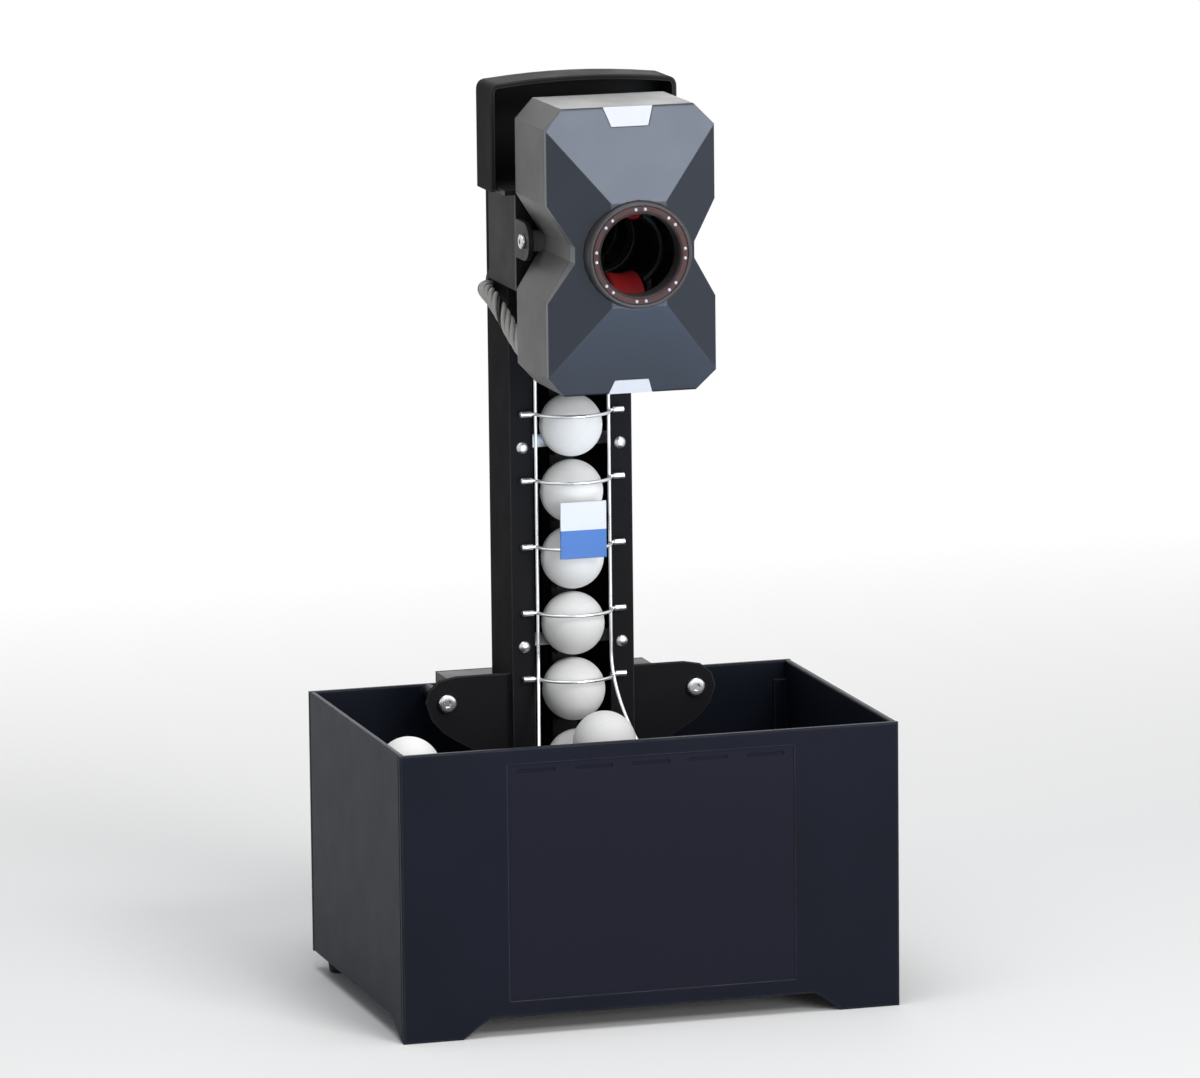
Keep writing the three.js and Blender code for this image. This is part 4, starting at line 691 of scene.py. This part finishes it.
class ROBOT_OT_nozzle(bpy.types.Operator):
    """Make the nozzle ring, the ring that carries the lamps and the lamps in pairs"""

    bl_idname = "robot.nozzle"
    bl_label = "Nozzle"

    def execute(self, context):
        s = context.scene.robot_sizes
        low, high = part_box("nozzle_ring")
        track_low, track_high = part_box("led_ring")
        outer, front, back = (high.x - low.x) / 2, low.y, high.y
        middle = centre("nozzle_ring") * (1, 0, 1)
        bore, track = NOZZLE_BORE_MM * MM, LAMP_CIRCLE_MM / 2 * MM
        half, lip = LAMP_GROOVE_MM * MM, NOZZLE_LIP_MM * MM
        seat = track_high.y
        corners = [
            (bore, back), (bore, front + lip), (bore + lip / 2, front), (track - half, front),
            (track - half, seat), (track + half, seat), (track + half, front), (outer - lip / 2, front),
            (outer, front + lip), (outer, back),
        ]
        profile = rounded(corners, s.fillet, 5)
        ring = piece_from("turned_nozzle", [revolved(profile, Y_AXIS, middle, s.turn_steps)])
        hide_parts("nozzle_ring")
        dress(ring, material_named("nozzle_satin"), "head")

        sheet, width, edge = np.array(LAMP_SHEET_MM) * MM
        corners = [(track - width, seat - sheet), (track + width, seat - sheet), (track + width, seat),
                   (track - width, seat)]
        profile = rounded(corners, edge, 3)
        board = piece_from("lamp_ring", [revolved(profile, Y_AXIS, middle, s.turn_steps)])
        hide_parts("led_ring")
        dress(board, material_named("lamp_board"), "head")

        tilt = np.linspace(0, np.pi / 2, 7)
        reach = seat - sheet - track_low.y
        dome = np.stack([s.lamp * np.cos(tilt), -reach * np.sin(tilt)], axis=1)
        profile = np.concatenate([[(0.0, sheet / 2), (s.lamp, sheet / 2)], dome])
        turn = np.arange(LAMP_PAIRS) * TURN / LAMP_PAIRS
        places = np.concatenate([turn - LAMP_PAIR_ANGLE / 2, turn + LAMP_PAIR_ANGLE / 2])
        spots = middle + track * np.stack([np.cos(places), 0 * places, np.sin(places)], axis=1)
        spots[:, 1] = seat - sheet
        lamps = piece_from("lamp_domes", [revolved(profile, Y_AXIS, spot, LAMP_SIDES) for spot in spots])
        dress(lamps, material_named("light_clear"), "head")
        return {"FINISHED"}


class ROBOT_OT_shade_sheet(bpy.types.Operator):
    """Make a black sheet behind the two rows of slots in the head's rear wall, as painted shade inside the
    head
    """

    bl_idname = "robot.gauze"
    bl_label = "Slot gauze"

    def execute(self, context):
        low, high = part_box("head_shell")
        left, right, front, rear = np.array(SLOT_SHADE_SHEET_MM) * MM
        half = SLOT_RUN_MM / 2 * MM
        middle = (low.z + high.z) / 2
        grids = []
        for side in (-1, 1):
            z = middle + side * (high.z - low.z) / 4
            corners = [(left, z - half), (right, z - half), (right, z + half), (left, z + half)]
            outline = rounded(corners, SHADE_SHEET_CORNER_MM * MM, 6)[:-1]
            rows = [np.insert(outline, 1, -depth, axis=1) for depth in (front, rear)]
            hub = np.ones((len(outline), 1))
            ends = [hub * ((left + right) / 2, -depth, z) for depth in (front, rear)]
            grids.append(np.stack([ends[0], rows[0], rows[1], ends[1]]))
        # The black sheet is painted shade, seen through the slots
        gauze = piece_from("slot_gauze", grids)
        dress(gauze, material_named("gauze_weave"), "head")
        return {"FINISHED"}


class ROBOT_OT_tyres(bpy.types.Operator):
    """Make the waisted tyres of the two throwing wheels"""

    bl_idname = "robot.tyres"
    bl_label = "Tyres"

    def execute(self, context):
        s = context.scene.robot_sizes
        for side in ("upper", "lower"):
            node = f"{side}_wheel_tyre"
            low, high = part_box(node)
            radius, half = (high.z - low.z) / 2, (high.x - low.x) / 2
            across = np.linspace(-1, 1, 25)
            waist = TYRE_WAIST_MM * MM * np.cos(np.pi / 2 * np.clip(across / TYRE_WAIST_SHARE, -1, 1))
            rise = (np.abs(across) - TYRE_FLAT_SHARE) / (1 - TYRE_FLAT_SHARE)
            edge = TYRE_EDGE_MM * MM * np.clip(rise, 0, 1) ** 2
            tread = np.stack([radius - waist - edge, half * across], axis=1)
            bore = radius - TYRE_WALL_MM * MM
            profile = np.concatenate([[(bore, -half)], tread, [(bore, half)], [(bore, -half)]])
            tyre = piece_from(f"{side}_tyre_tread", [revolved(profile, X_AXIS, centre(node), s.turn_steps)])
            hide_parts(node)
            dress(tyre, material_named("tyre_rubber"), f"{side}_wheel")
        return {"FINISHED"}


class ROBOT_OT_cage(bpy.types.Operator):
    """Make the wire cage: six hoops round the balls, sleeves on their feet and two long wires"""

    bl_idname = "robot.cage"
    bl_label = "Wire cage"

    def execute(self, context):
        s = context.scene.robot_sizes
        first, second = centre(BALL_NODES[0]), centre(BALL_NODES[1])
        wire_y = first[1] - CAGE_STAND_MM * MM
        line = self.hoop_line(s.wire, first[1], wire_y)
        inner, outer = np.array(SLEEVE_MM) * MM
        grids = []
        for k in range(HOOP_COUNT):
            height = first[2] + HOOP_RISE_MM * MM + k * (second[2] - first[2])
            grids.append(carried(np.insert(line, 2, height, axis=1), s.wire, WIRE_SIDES, Z_AXIS))
            for side in (-1, 1):
                corners = [(0, inner), (s.sleeve, inner), (s.sleeve, outer), (0, outer)]
                profile = rounded(corners, SLEEVE_EDGE_MM * MM, 4, closed=False)
                grids.append(revolved(profile, side * X_AXIS, (0, wire_y, height), LAMP_SIDES))
        low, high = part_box("guide_cage")
        flare_from, flare_out, flare_forward = np.array(CAGE_FLARE_MM) * MM
        half = CAGE_HALF_MM * MM
        t = np.linspace(0, 1, 25)[1:]
        for side in (-1, 1):
            straight = [(side * half, wire_y, high.z), (side * half, wire_y, flare_from)]
            splay = np.stack([side * (half + flare_out * t**2), wire_y - flare_forward * t**2,
                              flare_from + (low.z + s.wire - flare_from) * t], axis=1)
            grids.append(carried(np.concatenate([straight, splay]), s.wire, WIRE_SIDES, Y_AXIS + Z_AXIS))
        cage = piece_from("wire_hoops", grids)
        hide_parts("guide_cage")
        dress(cage, material_named("wire_chrome"), "stand")
        return {"FINISHED"}

    def hoop_line(self, wire, lip_y, wire_y):
        """A hoop seen from above.

        It comes in from a foot on the mast's lip, goes round the ball in half an ellipse, and goes out again.
        """
        low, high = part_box(BALL_NODES[0])
        half, foot = CAGE_HALF_MM * MM, CAGE_FOOT_MM * MM
        depth = (high.z - low.z) / 2 + (CAGE_FRONT_MM - CAGE_STAND_MM) * MM + wire
        angle = np.linspace(0, np.pi, 33)
        arc = np.stack([-half * np.cos(angle), wire_y - depth * np.sin(angle)], axis=1)
        corners = [(-foot, lip_y - GAP_MM * MM), (-foot, wire_y), (-half - wire, wire_y)]
        left = rounded(corners, HOOP_BEND_MM * MM, 7, closed=False)
        line = np.concatenate([left, arc, left[::-1] * (-1, 1)])
        return line[np.concatenate([[True], np.linalg.norm(np.diff(line, axis=0), axis=1) > 1e-6])]


class ROBOT_OT_loom(bpy.types.Operator):
    """Make the cable loom from the mast to the yoke: strands that wind round a dark core, which shows only in
    the gaps between strands as painted shade
    """

    bl_idname = "robot.loom"
    bl_label = "Cable loom"

    def execute(self, context):
        s = context.scene.robot_sizes
        path = loom_path()
        reach = lengths_along(path)
        strand = s.loom / (1 + 1 / np.sin(np.pi / s.strands))
        reference = (X_AXIS + Z_AXIS) / np.sqrt(2)
        u, v = frame_along(path, reference)
        # The core is black and shows only in the gaps between strands: painted shade there.
        grids = [carried(path, s.loom - 2 * strand, CORE_SIDES, reference)]
        dark = [np.ones(grids[0].shape[:2])]
        for k in range(s.strands):
            turn = TURN * (k / s.strands + reach / s.lay)[:, None]
            line = path + (s.loom - strand) * (np.cos(turn) * u + np.sin(turn) * v)
            grids.append(carried(line, s.slack * strand, WIRE_SIDES, reference))
            dark.append(np.full(grids[-1].shape[:2], float(k == 0)))
        loom = piece_from("twisted_loom", grids, sharp=60.0, values=("dark", dark))
        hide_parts("cable_loom")
        dress(loom, material_named("pale_strand"))
        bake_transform(loom)
        return {"FINISHED"}


class ROBOT_OT_grommet(bpy.types.Operator):
    """Make the rubber grommet that lines the mast's hole for the loom, with a bore that follows the loom"""

    bl_idname = "robot.grommet"
    bl_label = "Grommet"

    def execute(self, context):
        rim = np.array(GROMMET_MM) * MM
        ends = np.array([rim[-1, 0], rim[0, 0]])
        lead = loom_path()[:LOOM_HELD]
        bore = np.stack([np.interp(-ends, -lead[:, 0], lead[:, k]) for k in range(3)], axis=1)
        hole = np.array(LOOM_HOLE_MM) * MM
        rims = np.insert(np.broadcast_to(hole, (len(rim), 2)), 0, rim[:, 0], axis=1)
        middles = np.concatenate([bore[1:], rims, bore])
        radius = np.concatenate([[GROMMET_BORE_MM * MM], rim[:, 1], [GROMMET_BORE_MM * MM] * 2])
        angle = np.linspace(0, TURN, GROMMET_SIDES, endpoint=False)
        ring = np.cos(angle)[:, None] * Y_AXIS + np.sin(angle)[:, None] * Z_AXIS
        grommet = piece_from("loom_grommet", [middles[:, None] + radius[:, None, None] * ring])
        dress(grommet, material_named("foot_grip"), "stand")
        return {"FINISHED"}


class ROBOT_OT_screws(bpy.types.Operator):
    """Make the screws of the ears, pivots and rear cover, and the rivet heads of the mast"""

    bl_idname = "robot.screws"
    bl_label = "Screws and rivets"

    def execute(self, context):
        s = context.scene.robot_sizes
        for side in ("left", "right"):
            self.socket_screw(f"{side}_ear_screw", -Y_AXIS, *EAR_SCREW_MM, "stand")
            outwards = X_AXIS if side == "right" else -X_AXIS
            self.socket_screw(f"{side}_pivot_bolt", outwards, *PIVOT_BOLT_MM, "head")
        lip = centre(BALL_NODES[0])[1] - RIVET_STAND_MM * MM
        tilt = np.linspace(0, np.pi / 2, 8)
        profile = s.rivet * np.stack([np.cos(tilt), -RIVET_RISE_SHARE * np.sin(tilt)], axis=1)
        profile = np.concatenate([[(0, 0)], profile])
        grids = [revolved(profile, Y_AXIS, (x * MM, lip, z * MM), RIVET_SIDES) for x, z in RIVETS_MM]
        rivets = piece_from("rivet_heads", grids)
        dress(rivets, material_named("brushed_steel"), "stand")
        low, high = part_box("rear_cover")
        margin = COVER_MARGIN_MM * MM
        rise, shank, reach = (length * MM for length in COVER_SCREW_MM)
        grids = [screw_head((x, high.y, z), Y_AXIS, s.cover_screw, rise, shank, reach, RIVET_SIDES)
                 for x in (low.x + margin, high.x - margin) for z in (low.z + margin, high.z - margin)]
        cover = piece_from("cover_screws", grids)
        dress(cover, material_named("brushed_steel"), "stand")
        return {"FINISHED"}

    def socket_screw(self, node, axis, head, shank, body):
        """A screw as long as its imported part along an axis, with its head at the outer end.

        The head's height and the shank's radius are in millimetres.
        """
        head, shank = head * MM, shank * MM
        low, high = (np.array(corner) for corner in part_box(node))
        length = abs(float((high - low) @ axis))
        place = (low + high) / 2 + axis * (length / 2 - head)
        radius = (high[2] - low[2]) / 2
        screw = piece_from(f"socket_{node}", [screw_head(place, axis, radius, head, shank, length - head)])
        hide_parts(node)
        dress(screw, material_named("brushed_steel"), body)


class ROBOT_OT_feet(bpy.types.Operator):
    """Make the four rubber feet, each with a round edge on the floor and a straight taper"""

    bl_idname = "robot.feet"
    bl_label = "Feet"

    def execute(self, context):
        steps = context.scene.robot_sizes.turn_steps // 2
        tilt = np.linspace(0, np.pi / 2, 6)
        edge = FOOT_EDGE_MM * MM
        for node in FOOT_NODES:
            low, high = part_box(node)
            top = (high.x - low.x) / 2
            tip = FOOT_TIP_SHARE * top - edge
            turn = np.stack([tip + edge * np.sin(tilt), low.z + edge - edge * np.cos(tilt)], axis=1)
            profile = np.concatenate([[(0, low.z)], turn, [(top, high.z), (0, high.z)]])
            turned = revolved(profile, Z_AXIS, centre(node) * (1, 1, 0), steps)
            foot = piece_from("turned_" + node, [turned])
            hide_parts(node)
            dress(foot, material_named("foot_grip"), "stand")
        return {"FINISHED"}


def seen_or_mirrored(tree):
    """A factor that is one for rays from the camera, from gloss and through glass."""
    path = node_of(tree, "ShaderNodeLightPath")
    kinds = [path.outputs[f"Is {kind} Ray"] for kind in ("Camera", "Glossy", "Transmission")]
    either = math_of(tree, "MAXIMUM", kinds[0], kinds[1])
    return math_of(tree, "MAXIMUM", either, kinds[2])


def blend_shaders(tree, factor, first, second, end):
    """Blend two shaders by a factor, on the surface that a node at a tree's end shows."""
    mix = node_of(tree, "ShaderNodeMixShader")
    for source, target in zip((factor, first, second), mix.inputs):
        tree.links.new(source, target)
    tree.links.new(mix.outputs["Shader"], tree.nodes[end].inputs["Surface"])


class ROBOT_OT_stage(bpy.types.Operator):
    """Make the floor, the lights and the camera"""

    bl_idname = "robot.stage"
    bl_label = "Stage"

    def execute(self, context):
        scene = context.scene
        colours = scene.robot_colours
        self.floor(colours)
        self.world(scene)
        self.lights()
        self.camera(scene)
        scene.view_settings.view_transform = "Standard"
        return {"FINISHED"}

    def floor(self, colours):
        """A wide level sheet of paper."""
        corners = [(-FLOOR_HALF, -FLOOR_HALF, 0.0), (FLOOR_HALF, -FLOOR_HALF, 0.0),
                   (FLOOR_HALF, FLOOR_HALF, 0.0), (-FLOOR_HALF, FLOOR_HALF, 0.0)]
        mesh = bpy.data.meshes.new("floor")
        mesh.from_pydata(corners, [], [(0, 1, 2, 3)])
        floor = bpy.data.objects.new("floor", mesh)
        paper = finish("floor_paper", colours.floor, 0.9, level=0.1, clouds=0.0, smudge=0.0)
        self.whiten(paper)
        floor.data.materials.append(paper)
        bpy.context.scene.collection.objects.link(floor)

    def whiten(self, paper):
        """Turn the paper plain white behind the robot and far off, for what is seen or mirrored alone."""
        tree = paper.node_tree
        away = node_of(tree, "ShaderNodeVectorMath", operation="LENGTH")
        tree.links.new(own_place(tree), away.inputs[0])
        behind = spread(tree, coordinate(tree, "Y"), 0.0, 1.0, *WHITE_BEHIND)
        far = math_of(tree, "MAXIMUM", behind, spread(tree, away.outputs["Value"], 0.0, 1.0, *WHITE_FAR))
        glow = node_of(tree, "ShaderNodeEmission")
        glow.inputs["Color"].default_value = (1, 1, 1, 1)
        factor = math_of(tree, "MULTIPLY", far, seen_or_mirrored(tree))
        plain = tree.nodes["Principled BSDF"].outputs["BSDF"]
        blend_shaders(tree, factor, plain, glow.outputs["Emission"], "Material Output")

    def world(self, scene):
        """A weak even sky that is plain white where it is seen or mirrored."""
        world = bpy.data.worlds.new("studio")
        world.use_nodes = True
        tree = world.node_tree
        sky = tree.nodes["Background"]
        sky.inputs["Color"].default_value = SKY_COLOUR
        sky.inputs["Strength"].default_value = SKY_STRENGTH
        white = node_of(tree, "ShaderNodeBackground")
        white.inputs["Color"].default_value = (1, 1, 1, 1)
        dim, bright = sky.outputs["Background"], white.outputs["Background"]
        blend_shaders(tree, seen_or_mirrored(tree), dim, bright, "World Output")
        scene.world = world

    def lights(self):
        """Soft panels above, in front, on both sides and behind, and a small cool one low in front.

        The last lights the head from below. None shows to the camera.
        """
        middle, head = (0, 0, 0.35), (0, -0.1, 0.43)
        white, cool = (1, 1, 1), (0.6, 0.77, 1.0)
        panels = [
            ("top_panel", (-0.2, -0.5, 2.7), middle, (1.9, 1.7), 42.0, white, 180),
            ("high_front_panel", (1.2, -3.5, 2.8), middle, (1.5, 1.1), 54.0, white, 180),
            ("low_front_panel", (1.6, -4.4, 0.9), middle, (3.0, 1.5), 90.0, white, 180),
            ("left_panel", (-2.8, -1.0, 1.3), middle, (1.0, 1.6), 3.0, white, 180),
            ("right_panel", (2.6, -1.0, 1.4), middle, (1.0, 1.6), 2.5, white, 180),
            ("rear_panel", (1.0, 3.4, 1.5), middle, (2.0, 1.2), 15.0, white, 180),
            ("low_glow", (0.2, -0.66, 0.03), head, (0.5, 0.25), 0.5, cool, 50),
        ]
        for name, place, aim, size, power, colour, opening in panels:
            light = bpy.data.lights.new(name, "AREA")
            light.shape = "RECTANGLE"
            light.size, light.size_y = size
            light.energy = power
            light.color = colour
            light.spread = np.radians(opening)
            lamp = bpy.data.objects.new(name, light)
            lamp.location = place
            lamp.rotation_euler = (Vector(aim) - Vector(place)).to_track_quat("-Z", "Y").to_euler()
            lamp.visible_camera = False
            bpy.context.scene.collection.objects.link(lamp)

    def camera(self, scene):
        """The photograph's viewpoint, aimed at the robot's middle, with the slight lean of its mast."""
        place, aim = Vector(CAMERA_PLACE), Vector(CAMERA_AIM)
        lens = bpy.data.cameras.new("camera")
        lens.sensor_width = CAMERA_SENSOR_MM
        lens.lens = CAMERA_LENS_MM
        lens.clip_end = CAMERA_REACH
        camera = bpy.data.objects.new("camera", lens)
        turn = (aim - place).to_track_quat("-Z", "Y").to_matrix().to_4x4()
        roll = Matrix.Rotation(CAMERA_ROLL, 4, "Z")
        camera.matrix_world = Matrix.Translation(place) @ turn @ roll
        scene.collection.objects.link(camera)
        scene.camera = camera


PIECES = (ROBOT_OT_finishes, ROBOT_OT_balls, ROBOT_OT_nozzle, ROBOT_OT_shade_sheet, ROBOT_OT_tyres,
          ROBOT_OT_cage, ROBOT_OT_loom, ROBOT_OT_grommet, ROBOT_OT_screws, ROBOT_OT_feet, ROBOT_OT_stage)


class ROBOT_PT_panel(bpy.types.Panel):
    """Panel that lists the robot's pieces, sizes and colours"""

    bl_idname = "ROBOT_PT_panel"
    bl_label = "Table tennis robot"
    bl_space_type = "VIEW_3D"
    bl_region_type = "UI"
    bl_category = "Robot"

    def draw(self, context):
        for piece in PIECES:
            self.layout.operator(piece.bl_idname)
        for group in (context.scene.robot_sizes, context.scene.robot_colours):
            box = self.layout.box()
            for key in group.__annotations__:
                box.prop(group, key)


CLASSES = (RobotSizes, RobotColours, *PIECES, ROBOT_PT_panel)


def register():
    """Add the classes and the scene's settings."""
    for item in CLASSES:
        bpy.utils.register_class(item)
    bpy.types.Scene.robot_sizes = PointerProperty(type=RobotSizes)
    bpy.types.Scene.robot_colours = PointerProperty(type=RobotColours)


def unregister():
    """Take the scene's settings and the classes away."""
    del bpy.types.Scene.robot_colours
    del bpy.types.Scene.robot_sizes
    for item in reversed(CLASSES):
        bpy.utils.unregister_class(item)


def main():
    """Make the finishes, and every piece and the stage."""
    register()
    bpy.ops.robot.finishes()
    bpy.ops.robot.balls()
    bpy.ops.robot.nozzle()
    bpy.ops.robot.gauze()
    bpy.ops.robot.tyres()
    bpy.ops.robot.cage()
    bpy.ops.robot.loom()
    bpy.ops.robot.grommet()
    bpy.ops.robot.screws()
    bpy.ops.robot.feet()
    bpy.ops.robot.stage()


if __name__ == "__main__":
    main()
